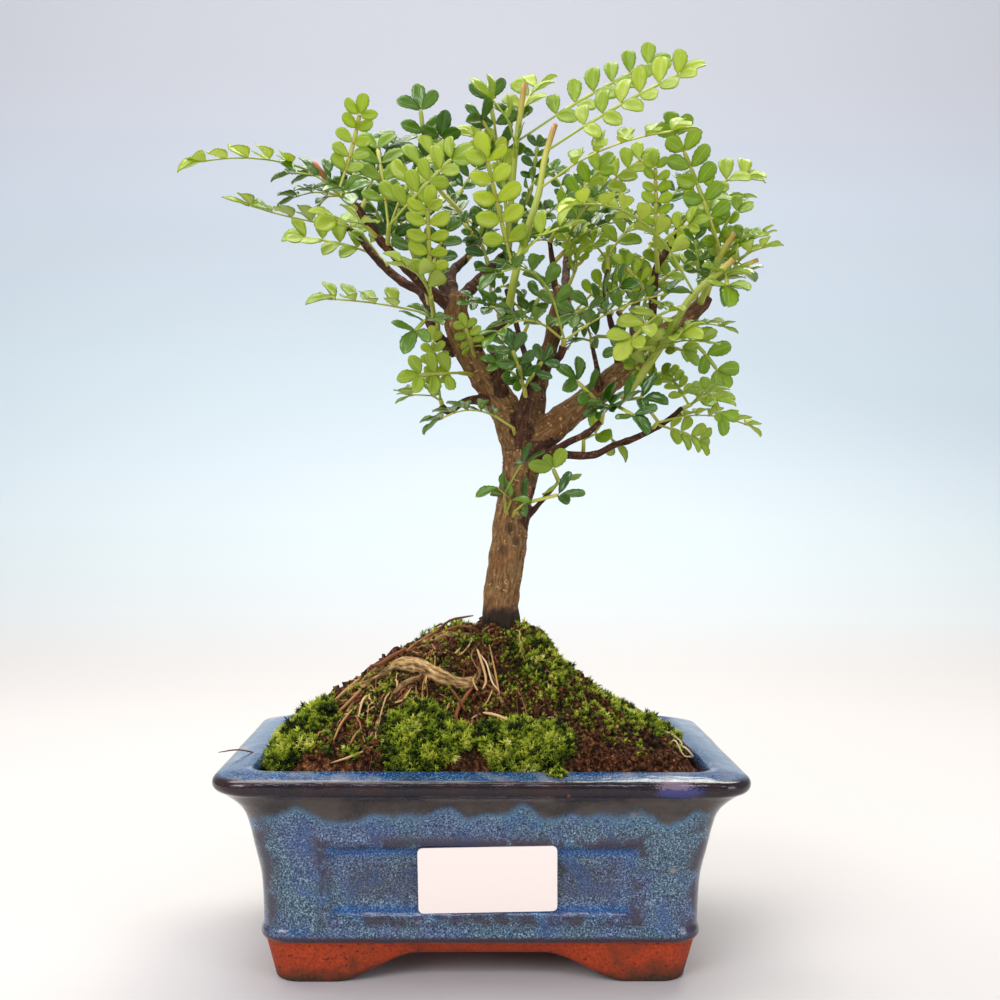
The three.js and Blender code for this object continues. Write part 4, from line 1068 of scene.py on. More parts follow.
# Limbs and twigs: the path is x, y, z and radius, from inside the limb that carries it
limbs = [
    dict(name="left_limb", steps=6, path=[[11, 0, 158, 5.6], [8, -1, 167, 5.3], [2, -3, 177, 4.8],
        [-5, -5, 187, 4.3], [-9, -6, 197, 4.2], [-9, -6, 205, 3.3]]),
    dict(name="fork_right", steps=3, path=[[-9, -5, 203, 2.3], [-5, -1, 208, 1.9], [3, 5, 217, 1.6],
        [8, 9, 223, 1.2]]),
    dict(name="fork_back", steps=3, path=[[-10, -4, 203, 2.2], [-11, 6, 214, 1.7], [-6, 14, 221, 1.3],
        [-2, 19, 227, 1.1]]),
    dict(name="limb_a", steps=5, path=[[-10, -6, 201, 2.2], [-16, -7, 205, 1.8], [-23, -9, 211, 1.6],
        [-27, -10, 215, 1.5], [-32, -11, 220, 1.4], [-36, -13, 225, 1.4], [-41, -14, 232, 1.2]]),
    dict(name="limb_b", steps=7, path=[[-9, -4, 187, 2.2], [-14, -4, 191, 1.8], [-17, -2, 196, 1.7],
        [-18, 1, 202, 1.6], [-21, 5, 208, 1.6], [-26, 8, 211, 1.5], [-31, 11, 215, 1.4],
        [-36, 13, 220, 1.3], [-41, 15, 226, 1.2], [-47, 17, 232, 1.0]]),
    dict(name="stub_left", steps=3, path=[[0, -5, 172, 1.9], [-5, -5, 172, 1.3], [-9, -5, 170, 1.2],
        [-11, -5, 168, 1.1], [-14, -6, 170, 1.3]]),
    dict(name="knob", steps=2, path=[[5, -6, 175, 2.3], [5, -9, 181, 1.9], [3, -10, 187, 1.7]]),
    dict(name="short_branch", steps=3, path=[[-4, -5, 187, 2.2], [-1, -8, 191, 1.8],
        [4, -11, 194, 1.7], [7, -13, 199, 1.5]]),
    dict(name="red_branch", steps=4, path=[[12, -5, 159, 2.4], [12, -9, 168, 1.9],
        [14, -12, 176, 1.6], [19, -15, 182, 1.5], [23, -17, 185, 1.4], [24, -18, 188, 1.2]]),
    dict(name="middle_stub", steps=4, path=[[15, 1, 160, 3.4], [17, 2, 169, 2.7], [18, 3, 177, 2.4],
        [20, 4, 186, 2.5], [22, 4, 193, 2.6], [24, 4, 202, 2.9], [26, 4, 209, 3.3]]),
    dict(name="right_limb", steps=7, path=[[14, 0, 158, 5.8], [21, 0, 163, 5.0], [27, 1, 168, 4.5],
        [35, 2, 174, 4.2], [43, 3, 181, 3.9], [50, 4, 187, 3.5], [57, 5, 194, 3.3], [65, 6, 200, 2.8],
        [71, 6, 205, 2.4], [73, 6, 208, 2.0]]),
    dict(name="twig_one", steps=5, path=[[56, 5, 191, 1.8], [55, 5, 197, 1.5], [55, 5, 205, 1.4],
        [56, 4, 217, 1.2], [59, 4, 222, 1.2], [61, 4, 226, 1.1], [63, 4, 230, 1.0]]),
    dict(name="twig_two", steps=3, path=[[44, 3, 184, 1.6], [42, 2, 194, 1.1], [40, 1, 201, 1.0],
        [39, 3, 210, 0.9], [40, 4, 216, 0.8]]),
    dict(name="twig_three", steps=2, path=[[37, 0, 175, 1.3], [36, -4, 182, 0.9], [34, -6, 190, 0.7]]),
    dict(name="twig_four", steps=3, path=[[25, 4, 207, 1.6], [23, 5, 210, 1.2], [22, 6, 218, 1.0],
        [21, 7, 226, 0.8]]),
    dict(name="twig_five", steps=3, path=[[18, 3, 175, 1.5], [13, 6, 189, 1.0], [9, 8, 203, 0.9],
        [7, 9, 210, 0.8]]),
    dict(name="low_one", steps=6, path=[[17, 0, 154, 1.9], [24, -3, 155, 1.4], [35, -6, 155, 1.2],
        [41, -7, 158, 1.1], [47, -8, 160, 1.1], [53, -9, 163, 1.0], [59, -11, 167, 0.9],
        [62, -12, 170, 0.8]]),
    dict(name="low_two", steps=3, path=[[16, -2, 154, 2.0], [22, -5, 156, 1.4], [27, -7, 159, 1.2],
        [33, -8, 162, 1.1], [37, -9, 166, 0.9]]),
    dict(name="trunk_twig", steps=2, path=[[11, 0, 131, 1.2], [16, -1, 137, 0.9], [23, -1, 145, 0.7]]),
    dict(name="behind_left", steps=3, path=[[-6, -4, 191, 2.4], [-11, 16, 204, 1.8],
        [-15, 24, 215, 1.5], [-18, 31, 224, 1.2]]),
    dict(name="behind_mid_left", steps=2, path=[[-13, 20, 211, 1.6], [-14, 32, 223, 1.2],
        [-15, 38, 234, 1.0]]),
    dict(name="behind_mid", steps=3, path=[[25, 6, 204, 2.2], [27, 16, 211, 1.6], [28, 26, 219, 1.4],
        [29, 34, 229, 1.1]]),
    dict(name="behind_right", steps=3, path=[[52, 8, 189, 2.4], [51, 20, 199, 1.8],
        [53, 30, 212, 1.5], [55, 36, 224, 1.1]]),
    dict(name="behind_low", steps=2, path=[[52, 22, 201, 1.5], [49, 32, 204, 1.1], [47, 36, 207, 0.9]]),
]

wood = {
    "voxel": 0.4,
    # Share of the faces kept once the pieces have grown together
    "kept": 0.72,
    "sides": 6,
    # Height of the bark's ridges and knots, as parts of the radius
    "ridge": 0.07,
    "knot": 0.09,
    # The thinnest radius, the thickest radius of a twig, and how far apart its leaf scars stand
    "finest": 0.62,
    "twig": 2.6,
    "nodeGap": 5.5,
    # The wet collar above the soil: where it starts and ends, and how far from the trunk's middle
    "wetFrom": 107.2,
    "wetTo": 104.4,
    "wetReach": (17, 10),
    "sawnOff": ("middle_stub", "right_limb"),
}


# Dark scars on the front of the trunk: x, z and radius
scars = [(8.6, 131.5, 2.6), (6.0, 124.5, 2.2), (10.6, 127.5, 1.8), (15.4, 146.8, 2.2), (14.0, 153.5, 1.6)]


def makeWood():
    onMound = [[(x, y, moundHeight(x, y) + lift, radius) for x, y, lift, radius in root] for root in roots]
    paths = [("trunk", trunk)] + [(limb["name"], limb["path"]) for limb in limbs]
    paths += [("root", path) for path in onMound]
    curve = bpy.data.curves.new("wood_run", "CURVE")
    curve.dimensions = "3D"
    curve.bevel_depth = 1
    curve.bevel_resolution = wood["sides"]
    curve.use_fill_caps = True
    spots = []
    for name, path in paths:
        length = sum((Vector(a[:3]) - Vector(b[:3])).length for a, b in zip(path, path[1:]))
        steps = smoothPath(path, max(6, int(length / 1.5)))
        places = [p for p, _ in steps]
        radii = [np.interp(at, range(len(path)), [p[3] for p in path]) for _, at in steps]
        if name == "trunk":
            # Bark swells and pinches a little along the trunk
            radii = [r * (1 + 0.02 * math.sin(0.9 * k)) for k, r in enumerate(radii)]
        elif name != "root":
            # A leaf scar swells a twig every few millimetres
            step = length / max(len(radii) - 1, 1)
            phases = [(k * step / wood["nodeGap"]) % 1 * 2 - 1 for k in range(len(radii))]
            swell = [max(0.0, math.cos(math.pi * phase)) ** 6 for phase in phases]
            radii = [r * (1 + (0.2 if r < wood["twig"] else 0.07) * s) for r, s in zip(radii, swell)]
        radii = [max(r, wood["finest"]) for r in radii]
        spline = curve.splines.new("POLY")
        spline.points.add(len(places) - 1)
        for point, place, radius in zip(spline.points, places, radii):
            point.co = (*place, 1)
            point.radius = radius
        run = 0
        for k, (frameAt, place, radius) in enumerate(zip(carriedFrames(places), places, radii)):
            run += (place - places[k - 1]).length if k else 0
            # Each limb's bark starts elsewhere in the pattern
            patternAt = run + 37 * len(curve.splines)
            spots.append((name, place, radius, frameAt, patternAt, k == len(places) - 1))
    rough = bpy.data.objects.new("wood_run", curve)
    scene.collection.objects.link(rough)
    solid = bpy.data.objects.new("wood_solid", appliedMesh(rough))
    scene.collection.objects.link(solid)
    remesh = solid.modifiers.new("grown_together", "REMESH")
    remesh.mode = "VOXEL"
    remesh.voxel_size = wood["voxel"]
    thinner = solid.modifiers.new("fewer_faces", "DECIMATE")
    thinner.ratio = wood["kept"]
    mesh = appliedMesh(solid)
    bpy.data.objects.remove(rough)
    bpy.data.objects.remove(solid)

    bm = bmesh.new()
    bm.from_mesh(mesh)
    everyAxis = {"use_axis_x": True, "use_axis_y": True, "use_axis_z": True}
    for _ in range(3):
        bmesh.ops.smooth_vert(bm, verts=bm.verts, factor=0.5, **everyAxis)
    bm.normal_update()
    tree = kdtree.KDTree(len(spots))
    for k, spot in enumerate(spots):
        tree.insert(spot[1], k)
    tree.balance()
    marks = bm.verts.layers.float_color.new("woodMarks")
    barkPlace = bm.verts.layers.float_vector.new("barkPlace")
    moves = []
    for vert in bm.verts:
        # The limb whose skin is nearest, among the few nearest middles
        near = tree.find_n(vert.co, 5)
        _, k, _ = min(near, key=lambda found: found[2] / (spots[found[1]][2] + 0.5))
        name, place, radius, (tangent, normal, side), run, last = spots[k]
        off = vert.co - place
        around = Vector((off.dot(normal), off.dot(side), run + off.dot(tangent)))
        vert[barkPlace] = around * mm
        grooves = noise.noise(Vector((around.x, around.y, around.z / 6)))
        knots = noise.noise(Vector((around.x / 3, around.y / 3, around.z / 4)))
        isRoot = name == "root"
        coarse = 2.2 if isRoot else 1.0
        moves.append(vert.normal * radius * coarse * (wood["ridge"] * grooves + wood["knot"] * knots))
        cutEnd = 1.0 if last and name in wood["sawnOff"] and off.dot(tangent) > -0.1 else 0.0
        wet = 0.0
        if vert.co.z < wood["wetFrom"] + 5:
            fromMiddle = math.hypot(vert.co.x - mound["trunkX"], vert.co.y)
            ragged = 1.6 * noise.noise(vert.co / 2.5)
            wet = smoothStep(wood["wetFrom"] + ragged, wood["wetTo"] + ragged, vert.co.z)
            wet *= smoothStep(*wood["wetReach"], fromMiddle)
        for x, z, reach in scars:
            if vert.co.y < 2:
                away = math.hypot(vert.co.x - x, vert.co.z - z)
                wet = max(wet, 0.6 * smoothStep(reach, 0.4 * reach, away))
        # The thick roots in front are washed bare and pale
        pale = 0.0
        if isRoot:
            pale = 0.95 if radius > 1.4 and vert.co.y < -8 else 0.35
        thin = smoothStep(wood["twig"] + 0.9, wood["twig"] - 0.6, radius) * (0.4 if isRoot else 1.0)
        vert[marks] = (pale, cutEnd, wet, thin)
    for vert, move in zip(bm.verts, moves):
        vert.co += move
    keepPiece("wood_grown", meshOf("wood_grown", bm, outward=False), [bark], ["wood"])
    print("wood made")


# Fine rootlets, sticks and dry blades on the mound: ends on the ground, height there, radius and shade
litter = [
    dict(path=[(-34, -32, 0.5), (-37, -34, 1.2), (-39, -36, 0.4)], radius=0.4, shade=0.5),
    dict(path=[(-3, -23, 1), (-4, -26, 2.4), (-8, -32, 1.6), (-3, -34, 0.4)], radius=0.6, shade=0.35),
    dict(path=[(-2, -20, 0.5), (2, -22, 2.2), (7, -25, 0.6)], radius=0.6, shade=0.2),
    dict(path=[(2, -14, 1), (4, -20, 3), (5, -25, 1)], radius=0.32, shade=0.62),
    dict(path=[(-66, -20, 2.2), (-74, -21, 4.2), (-80, -22, 3.6)], radius=0.25, shade=0.15),
    dict(path=[(34, -6, 0.5), (36, -7, 5), (38, -8, 7.5)], radius=0.28, shade=0.6),
    dict(path=[(0, -33, 4.5), (4, -35, 6.2), (8, -36, 5.2)], radius=0.5, shade=0.8),
    dict(path=[(52, -14, 0.6), (57, -17, 2.2), (62, -15, 1.6), (61, -20, 0.8)], radius=0.35, shade=0.95),
    dict(path=[(-2, -15, 1), (-1, -18, 3.4), (1, -21, 2.8), (0, -25, 3.2)], radius=0.42, shade=0.78),
    dict(path=[(-1, -17, 2), (1, -19, 4.4), (3, -22, 3), (5, -24, 1.5)], radius=0.3, shade=0.9),
    dict(path=[(-2, -20, 1.5), (-3, -23, 3.6), (-1, -27, 2.4)], radius=0.3, shade=0.7),
    dict(path=[(-29, -8, 1), (-22, -8, 3.2), (-14, -8, 1.6), (-7, -8, 2.2), (-1, -7, 1)],
         radius=0.5, shade=0.3),
    dict(path=[(-27, -12, 0.5), (-23, -9, 2.4), (-17, -4, 4.2), (-12, -2, 3.6)], radius=0.42, shade=0.45),
    dict(path=[(-17, -3, 1.5), (-11, -4, 3.6), (-6, -4, 3.4), (-3, -5, 4.4)], radius=0.4, shade=0.15),
    dict(path=[(-12, -3, 2), (-13, -3, 4.6), (-15, -4, 5.2)], radius=0.35, shade=0.12),
    dict(path=[(-24, -12, 3.0), (-29, -12.3, 4.4), (-32, -13.4, 4.2), (-35, -13, 4.8)],
         radius=0.75, shade=0.25),
    dict(path=[(-38, -16, 2.4), (-43, -18, 2.6), (-48, -20, 0.8)], radius=0.6, shade=0.55),
    dict(path=[(-36, -19, 2.2), (-41, -22, 2.6), (-45, -24, 0.6)], radius=0.55, shade=0.5),
    dict(path=[(-35, -24, 2.5), (-36, -27, 3.0), (-37, -31, 1.6)], radius=0.35, shade=0.8),
    dict(path=[(-39, -29, 2.2), (-42, -32, 2.2), (-44, -34, 0.4)], radius=0.4, shade=0.6),
    dict(path=[(-32, -39, 1.0), (-38, -40, 2.0), (-44, -39, 0.8)], radius=0.35, shade=0.75),
    dict(path=[(-56, -8, 1), (-57, -8, 4), (-58.5, -8, 6.5)], radius=0.55, shade=0.1),
    dict(path=[(-10, -26, 3), (-8, -29, 4.6), (-5, -31, 2.0)], radius=0.5, shade=0.2),
    dict(path=[(59, -24, 1), (61, -26, 4), (64, -25, 3.4), (63, -22, 1.6)], radius=0.3, shade=0.95),
    dict(path=[(57, -25, 1), (58, -27, 3.2), (61, -28, 2.4), (63, -27, 4)], radius=0.28, shade=0.9),
]
rootlets = {
    "count": 230,
    "radius": (0.1, 0.34),
    "steps": 7,
    "stride": 2.0,
    "middle": (-17, -16),
    "reach": (19, 13),
    "shades": (0.1, 0.2, 0.3, 0.4, 0.55, 0.75),
}
fibres = {
    "count": 1500, "radius": 0.11, "shortest": 1.5, "longest": 6, "shades": (0.05, 0.15, 0.25, 0.4, 0.6),
}


def makeLitter():
    heap = newHeap()

    def strand(places, radius, shade):
        radii = [radius * (1 - 0.5 * abs(2 * k / (len(places) - 1) - 1) ** 3) for k in range(len(places))]
        bm = bmesh.new()
        growRings(bm, circleRings(places, radii, 5))
        addCopy(heap, partOf(bm), None, shade)

    for piece in litter:
        # The blade that leans out over the left rim has its height from the soil's edge
        overRim = abs(piece["path"][-1][0]) > 70
        ends = [(x, y, moundHeight(-64 if overRim else x, y) + lift) for x, y, lift in piece["path"]]
        strand([p for p, _ in smoothPath(ends, 10)], piece["radius"], piece["shade"])
    for _ in range(rootlets["count"]):
        x = dice.gauss(rootlets["middle"][0], rootlets["reach"][0])
        y = dice.gauss(rootlets["middle"][1], rootlets["reach"][1])
        heading = math.atan2(y, x - mound["trunkX"]) + dice.gauss(0, 0.5)
        places = []
        for step in range(rootlets["steps"]):
            if moundPlace(x, y)[1] > 0.93:
                break
            arch = 0.2 + 1.3 * math.sin(math.pi * step / (rootlets["steps"] - 1)) * dice.uniform(0.3, 1)
            places.append(Vector((x, y, groundHeight(x, y) + arch)))
            heading += dice.gauss(0, 0.45)
            x += rootlets["stride"] * math.cos(heading)
            y += rootlets["stride"] * math.sin(heading)
        if len(places) > 3:
            strand(places, dice.uniform(*rootlets["radius"]), dice.choice(rootlets["shades"]))
    keepPiece("rootlets", heapMesh("rootlets", heap), [straw])

    # Peat fibres: thin bent threads that lie every way on the mound
    heap = newHeap()
    bm = bmesh.new()
    thin = 0.03
    corners = [Vector((0, thin * a, thin * b)) for a, b in ((1, 0), (-0.5, 0.87), (-0.5, -0.87))]
    bows = [(t, math.sin(math.pi * t)) for t in (0, 0.35, 0.7, 1)]
    bend = [Vector((t, 0.12 * bow, 0.16 * bow)) for t, bow in bows]
    growRings(bm, [[place + corner for corner in corners] for place in bend])
    thread = partOf(bm)
    for _ in range(fibres["count"]):
        x, y = dice.uniform(-62, 62), dice.uniform(-42, 42)
        if moundPlace(x, y)[1] > 0.95:
            continue
        long = dice.uniform(fibres["shortest"], fibres["longest"])
        heading = dice.uniform(0, 2 * math.pi)
        foot = groundHeight(x, y)
        drop = foot - groundHeight(x + long * math.cos(heading), y + long * math.sin(heading))
        thick = fibres["radius"] / thin * dice.uniform(0.6, 1.3)
        matrix = (
            Matrix.Translation((x, y, foot - 0.1))
            @ Matrix.Rotation(heading, 4, "Z")
            @ Matrix.Rotation(math.atan2(drop, long) + dice.gauss(0, 0.12), 4, "Y")
            @ Matrix.Diagonal((long, thick, thick, 1))
        )
        addCopy(heap, thread, matrix, dice.choice(fibres["shades"]))
    keepPiece("peat_fibres", heapMesh("peat_fibres", heap), [straw])
    print("litter made")


# Sprays, in millimetres. A leaf is its foot's part of the stem, its tip, how far it arches, its pairs of
# leaflets, and how far its face turns from up to the front, in degrees. The extra ones fill the crown.
# redTip and redLength say how red a cut shoot's end is and how far down, and slim narrows the leaflets.
sprays = [
    dict(name="left_cut", tone="young", redTip=1, radii=[1.0, 0.9],
         stem=[[-41, -14, 232], [-45, -16, 234], [-49, -19, 238], [-53, -20, 243]],
         leaves=[[0.72, -92, -30, 238, 4, 5, 10], [0.35, -38, -24, 262, -4, 5, 80]]),
    dict(name="left_tip", tone="mature", radii=[0.8, 0.6],
         stem=[[-40, -14, 230], [-45, -20, 233]],
         leaves=[[1, -61, -28, 237, 3, 3, 30], [0.8, -40, -44, 226, 3, 2, 60],
                 [0.9, -61, -16, 232, 2, 3, 20]]),
    dict(name="left_bow", tone="young", radii=[0.8, 0.6],
         stem=[[-34, -12, 222], [-37, -17, 224]],
         leaves=[[1, -79, -26, 231, -2, 5, 10], [0.8, -47, -36, 221, 2, 2, 50]]),
    dict(name="left_behind", tone="young", radii=[0.8, 0.6],
         stem=[[-32, 11, 217], [-35, 14, 221]],
         leaves=[[1, -66, 18, 228, 2, 4, 55], [0.8, -53, 34, 237, 3, 4, 30]]),
    dict(name="left_low", tone="young", radii=[0.7, 0.6],
         stem=[[-17, -3, 199], [-21, -5, 200]],
         leaves=[[1, -54, -10, 203, 1, 4, 25]]),
    dict(name="limb_a_front", tone="young", radii=[0.8, 0.7],
         stem=[[-31, -10, 219], [-30, -19, 224]],
         leaves=[[1, -6, -24, 248, 2, 5, 80], [0.8, -14, -6, 252, 6, 4, 50],
                 [0.9, -36, 0, 257, 3, 4, 30]]),
    dict(name="limb_a_top", tone="mature", radii=[0.8, 0.6],
         stem=[[-39, -13, 230], [-37, -8, 238]],
         leaves=[[1, -28, 12, 259, 3, 4, 30]]),
    dict(name="center_left", tone="young", radii=[0.8, 0.7],
         stem=[[-16, -9, 197], [-17, -18, 203]],
         leaves=[[1, -18, -34, 232, -2, 5, 85], [0.8, -27, -30, 210, 3, 3, 20]]),
    dict(name="center_dark", tone="mature", radii=[0.8, 0.7],
         stem=[[-18, -2, 203], [-19, -8, 207]],
         leaves=[[1, -31, -2, 238, 2, 5, 75], [0.8, -11, -6, 229, 3, 4, 60]]),
    dict(name="back_fork", tone="mature", radii=[0.9, 0.7],
         stem=[[-3, 18, 225], [-2, 18, 231]],
         leaves=[[1, -18, 30, 243, 2, 4, 40], [0.8, 8, 14, 246, 3, 4, 60]]),
    dict(name="top_left", tone="mature", radii=[0.9, 0.7],
         stem=[[-4, 17, 223], [-7, 14, 234], [-14, 10, 241], [-19, 6, 246]],
         leaves=[[1, -22, 2, 271, 2, 3, 80], [0.85, -14, -8, 259, 2, 3, 70]]),
    dict(name="cut_two", tone="young", radii=[1.1, 0.9],
         stem=[[7, 9, 221], [8, 4, 235], [9, 0, 250], [10, -1, 259], [12, -2, 274]],
         leaves=[[0.66, 64, 12, 290, 3, 6, 60], [0.55, -3, -16, 268, 4, 3, 45],
                 [0.78, 18, 16, 280, 2, 3, 10], [0.42, -7, 2, 260, 3, 4, 60]]),
    dict(name="cut_one", tone="young", radii=[1.3, 0.9],
         stem=[[7, -13, 199], [9, -20, 210], [13, -20, 225], [16, -18, 235], [18, -16, 247],
               [21, -16, 257]],
         leaves=[[0.2, -2, -40, 247, -2, 5, 80], [0.66, 66, -30, 252, 5, 5, 30],
                 [0.86, 68, -24, 275, 2, 6, 55], [0.27, 26, -28, 223, 3, 3, 40]]),
    dict(name="short_branch", tone="mature", radii=[0.8, 0.7],
         stem=[[5, -10, 194], [4, -16, 198]],
         leaves=[[1, -6, -24, 200, 2, 3, 50], [0.8, 0, -30, 197, 2, 3, 60]]),
    dict(name="red_branch", tone="mature", radii=[1.0, 0.8],
         stem=[[24, -17, 187], [24, -20, 190]],
         leaves=[[1, -2, -44, 202, 13, 5, 0], [0.8, 60, -42, 202, 3, 6, 10],
                 [0.8, 0, -40, 185, 7, 5, 0]]),
    dict(name="fork_front", tone="mature", radii=[0.8, 0.7],
         stem=[[13, -11, 172], [12, -15, 176]],
         leaves=[[1, 7, -22, 189, 2, 3, 80], [0.8, 19, -20, 185, 2, 3, 80],
                 [0.8, 2, -20, 183, 2, 3, 60]]),
    dict(name="fork_behind", tone="mature", radii=[0.8, 0.7],
         stem=[[4, -1, 175], [8, 8, 180]],
         leaves=[[1, 6, 12, 194, 2, 3, 85]]),
    dict(name="stub_low", tone="young", radii=[0.8, 0.7],
         stem=[[-13, -4, 169], [-14, -8, 172]],
         leaves=[[1, -17, -12, 194, 1, 5, 88], [0.8, -25, -9, 172, 2, 2, 10]]),
    dict(name="limb_left_side", tone="young", radii=[0.7, 0.6],
         stem=[[-4, -7, 180], [-8, -12, 180]],
         leaves=[[1, -23, -20, 178, 1, 3, 85]]),
    dict(name="limb_left_dark", tone="mature", radii=[0.8, 0.7],
         stem=[[-15, -4, 194], [-15, -10, 197]],
         leaves=[[1, -23, -28, 188, 3, 3, 50]]),
    dict(name="limb_left_young", tone="young", radii=[0.6, 0.5],
         stem=[[-3, -7, 185], [-4, -13, 187]],
         leaves=[[1, -7, -22, 195, 2, 4, 85]]),
    dict(name="fork_low", tone="mature", radii=[0.7, 0.6],
         stem=[[10, -5, 161], [9, -10, 163]],
         leaves=[[1, -18, -26, 161, 6, 5, 0]]),
    dict(name="trunk_left", tone="mature", slim=0.75, radii=[0.7, 0.6],
         stem=[[8, -3, 135], [7, -8, 137]],
         leaves=[[1, 15, -22, 153, 4, 2, 30], [0.8, 1, -18, 143, 6, 1, 40]]),
    dict(name="trunk_right", tone="mature", slim=0.75, radii=[0.7, 0.6],
         stem=[[9, -3, 134], [10, -8, 137]],
         leaves=[[1, 27, -18, 142, 3, 2, 55]]),
    dict(name="twig_trunk", tone="young", radii=[0.6, 0.5],
         stem=[[22, -1, 144], [24, -1, 146]],
         leaves=[[1, 21, -6, 152, 2, 2, 80]]),
    dict(name="low_tip", tone="young", radii=[0.8, 0.6],
         stem=[[61, -11, 169], [65, -12, 171]],
         leaves=[[1, 72, -26, 163, 7, 4, 20], [0.8, 76, -4, 175, 2, 3, 60],
                 [0.8, 58, -4, 182, 1, 4, 80]]),
    dict(name="low_right", tone="young", radii=[0.8, 0.6],
         stem=[[53, -8, 163], [54, -13, 165]],
         leaves=[[1, 89, -8, 162, 4, 6, 5], [0.8, 72, -2, 159, 1, 4, 75]]),
    dict(name="low_inner", tone="mature", radii=[0.8, 0.7],
         stem=[[37, -8, 165], [37, -13, 168]],
         leaves=[[1, 25, -22, 179, 2, 3, 70], [0.8, 46, -38, 163, 4, 3, 60],
                 [0.8, 51, -32, 171, 3, 3, 60]]),
    dict(name="low_hang", tone="young", radii=[0.7, 0.6],
         stem=[[32, -1, 155], [32, -2, 160]],
         leaves=[[1, 42, 6, 158, 5, 2, 50]]),
    dict(name="cut_right", tone="young", redLength=9, radii=[1.3, 1.0],
         stem=[[44, -7, 173], [49, -14, 180], [58, -16, 194], [63, -18, 203], [76, -20, 215]],
         leaves=[[0.72, 17, -48, 223, 12, 6, 0], [0.3, 61, -34, 190, 3, 3, 50],
                 [0.1, 69, -32, 187, 7, 5, 10], [0.62, 40, -34, 184, 4, 4, 30]]),
    dict(name="far_right", tone="young", redLength=6, radii=[0.8, 0.7],
         stem=[[71, -1, 210], [76, -6, 213], [81, -9, 215], [86, -10, 217]],
         leaves=[[0.55, 89, -16, 220, 2, 3, 10], [0.35, 73, -26, 203, 3, 3, 60]]),
    dict(name="cut_upper", tone="young", redLength=13, radii=[1.1, 0.9],
         stem=[[70, 2, 205], [72, -6, 212], [75, -10, 220], [78, -12, 225]],
         leaves=[[0.72, 56, -10, 264, 3, 6, 85], [0.5, 92, 2, 228, 2, 4, 10]]),
    dict(name="twig_top", tone="young", radii=[0.8, 0.6],
         stem=[[63, 5, 229], [64, 1, 231]],
         leaves=[[1, 88, -2, 245, 7, 4, 50], [0.8, 87, 16, 241, 4, 4, 20]]),
    dict(name="upright", tone="young", radii=[0.8, 0.7],
         stem=[[56, 2, 215], [54, -7, 221]],
         leaves=[[1, 52, -16, 250, 1, 6, 88], [0.8, 66, -20, 227, 3, 4, 70]]),
    dict(name="middle_top", tone="young", radii=[0.8, 0.7],
         stem=[[21, 6, 225], [24, 2, 230]],
         leaves=[[1, 39, -6, 249, 2, 4, 70], [0.8, 57, 8, 257, 2, 6, 60]]),
    dict(name="middle_dark", tone="mature", radii=[0.8, 0.7],
         stem=[[22, 7, 218], [26, 5, 222]],
         leaves=[[1, 36, -26, 234, 3, 4, 40], [0.8, 50, -6, 229, 4, 4, 20]]),
    dict(name="stub_side", tone="young", radii=[0.8, 0.6],
         stem=[[25, 4, 200], [30, 8, 203]],
         leaves=[[1, 51, 12, 222, 2, 5, 60]]),
    dict(name="twig_two", tone="mature", radii=[0.8, 0.6],
         stem=[[41, 2, 201], [38, -6, 203]],
         leaves=[[1, 43, -24, 206, 2, 3, 75], [0.8, 25, -13, 197, 3, 3, 70]]),
    dict(name="twig_two_top", tone="young", radii=[0.8, 0.6],
         stem=[[40, 4, 215], [40, 6, 220]],
         leaves=[[1, 54, 24, 237, 3, 4, 50], [0.8, 28, 18, 231, 3, 4, 50]]),
    dict(name="twig_one_low", tone="young", radii=[0.8, 0.6],
         stem=[[55, 4, 205], [53, 7, 208]],
         leaves=[[1, 40, 16, 210, 2, 4, 70], [0.8, 42, -6, 217, 2, 4, 80],
                 [0.9, 69, 12, 220, 3, 4, 60]]),
    dict(name="limb_end", tone="mature", radii=[0.8, 0.7],
         stem=[[70, 5, 205], [74, 8, 211]],
         leaves=[[1, 75, -14, 205, 3, 3, 60], [0.8, 76, 38, 230, 4, 4, 50],
                 [0.8, 90, 22, 218, 3, 3, 20]]),
    dict(name="limb_under", tone="mature", radii=[0.7, 0.6],
         stem=[[54, -1, 191], [51, -8, 186]],
         leaves=[[1, 40, -12, 187, 3, 3, 50]]),
    dict(name="limb_right", tone="young", radii=[0.8, 0.6],
         stem=[[60, 6, 195], [66, 10, 197]],
         leaves=[[1, 81, 12, 198, 2, 3, 10], [0.8, 79, 10, 181, 3, 3, 70]]),
    dict(name="behind_left", tone="mature", radii=[0.9, 0.7],
         stem=[[-17, 30, 223], [-23, 36, 232]],
         leaves=[[1, -47, 48, 257, 4, 5, 30], [0.8, -30, 36, 263, 3, 4, 50],
                 [0.8, -40, 54, 237, 4, 4, 20]]),
    dict(name="behind_mid_left", tone="mature", radii=[0.9, 0.7],
         stem=[[-15, 38, 233], [-12, 44, 243]],
         leaves=[[1, -19, 50, 271, 3, 5, -40], [0.8, 3, 42, 265, 3, 5, 50]]),
    dict(name="behind_mid", tone="mature", radii=[0.9, 0.7],
         stem=[[29, 34, 229], [31, 40, 239]],
         leaves=[[1, 21, 42, 261, 3, 5, 40], [0.8, 44, 58, 260, 4, 5, -20]]),
    dict(name="behind_right", tone="mature", radii=[0.9, 0.7],
         stem=[[55, 36, 224], [60, 42, 233]],
         leaves=[[1, 74, 42, 258, 3, 5, 30], [0.8, 80, 56, 241, 4, 4, -20]]),
    dict(name="behind_low", tone="mature", radii=[0.8, 0.6],
         stem=[[48, 36, 207], [52, 42, 211]],
         leaves=[[1, 66, 58, 223, 3, 4, 10]]),
    dict(name="inner_top", tone="mature", radii=[0.7, 0.5], extra=True,
         stem=[[8, 9, 223], [5, 6, 250], [3, 3, 259]],
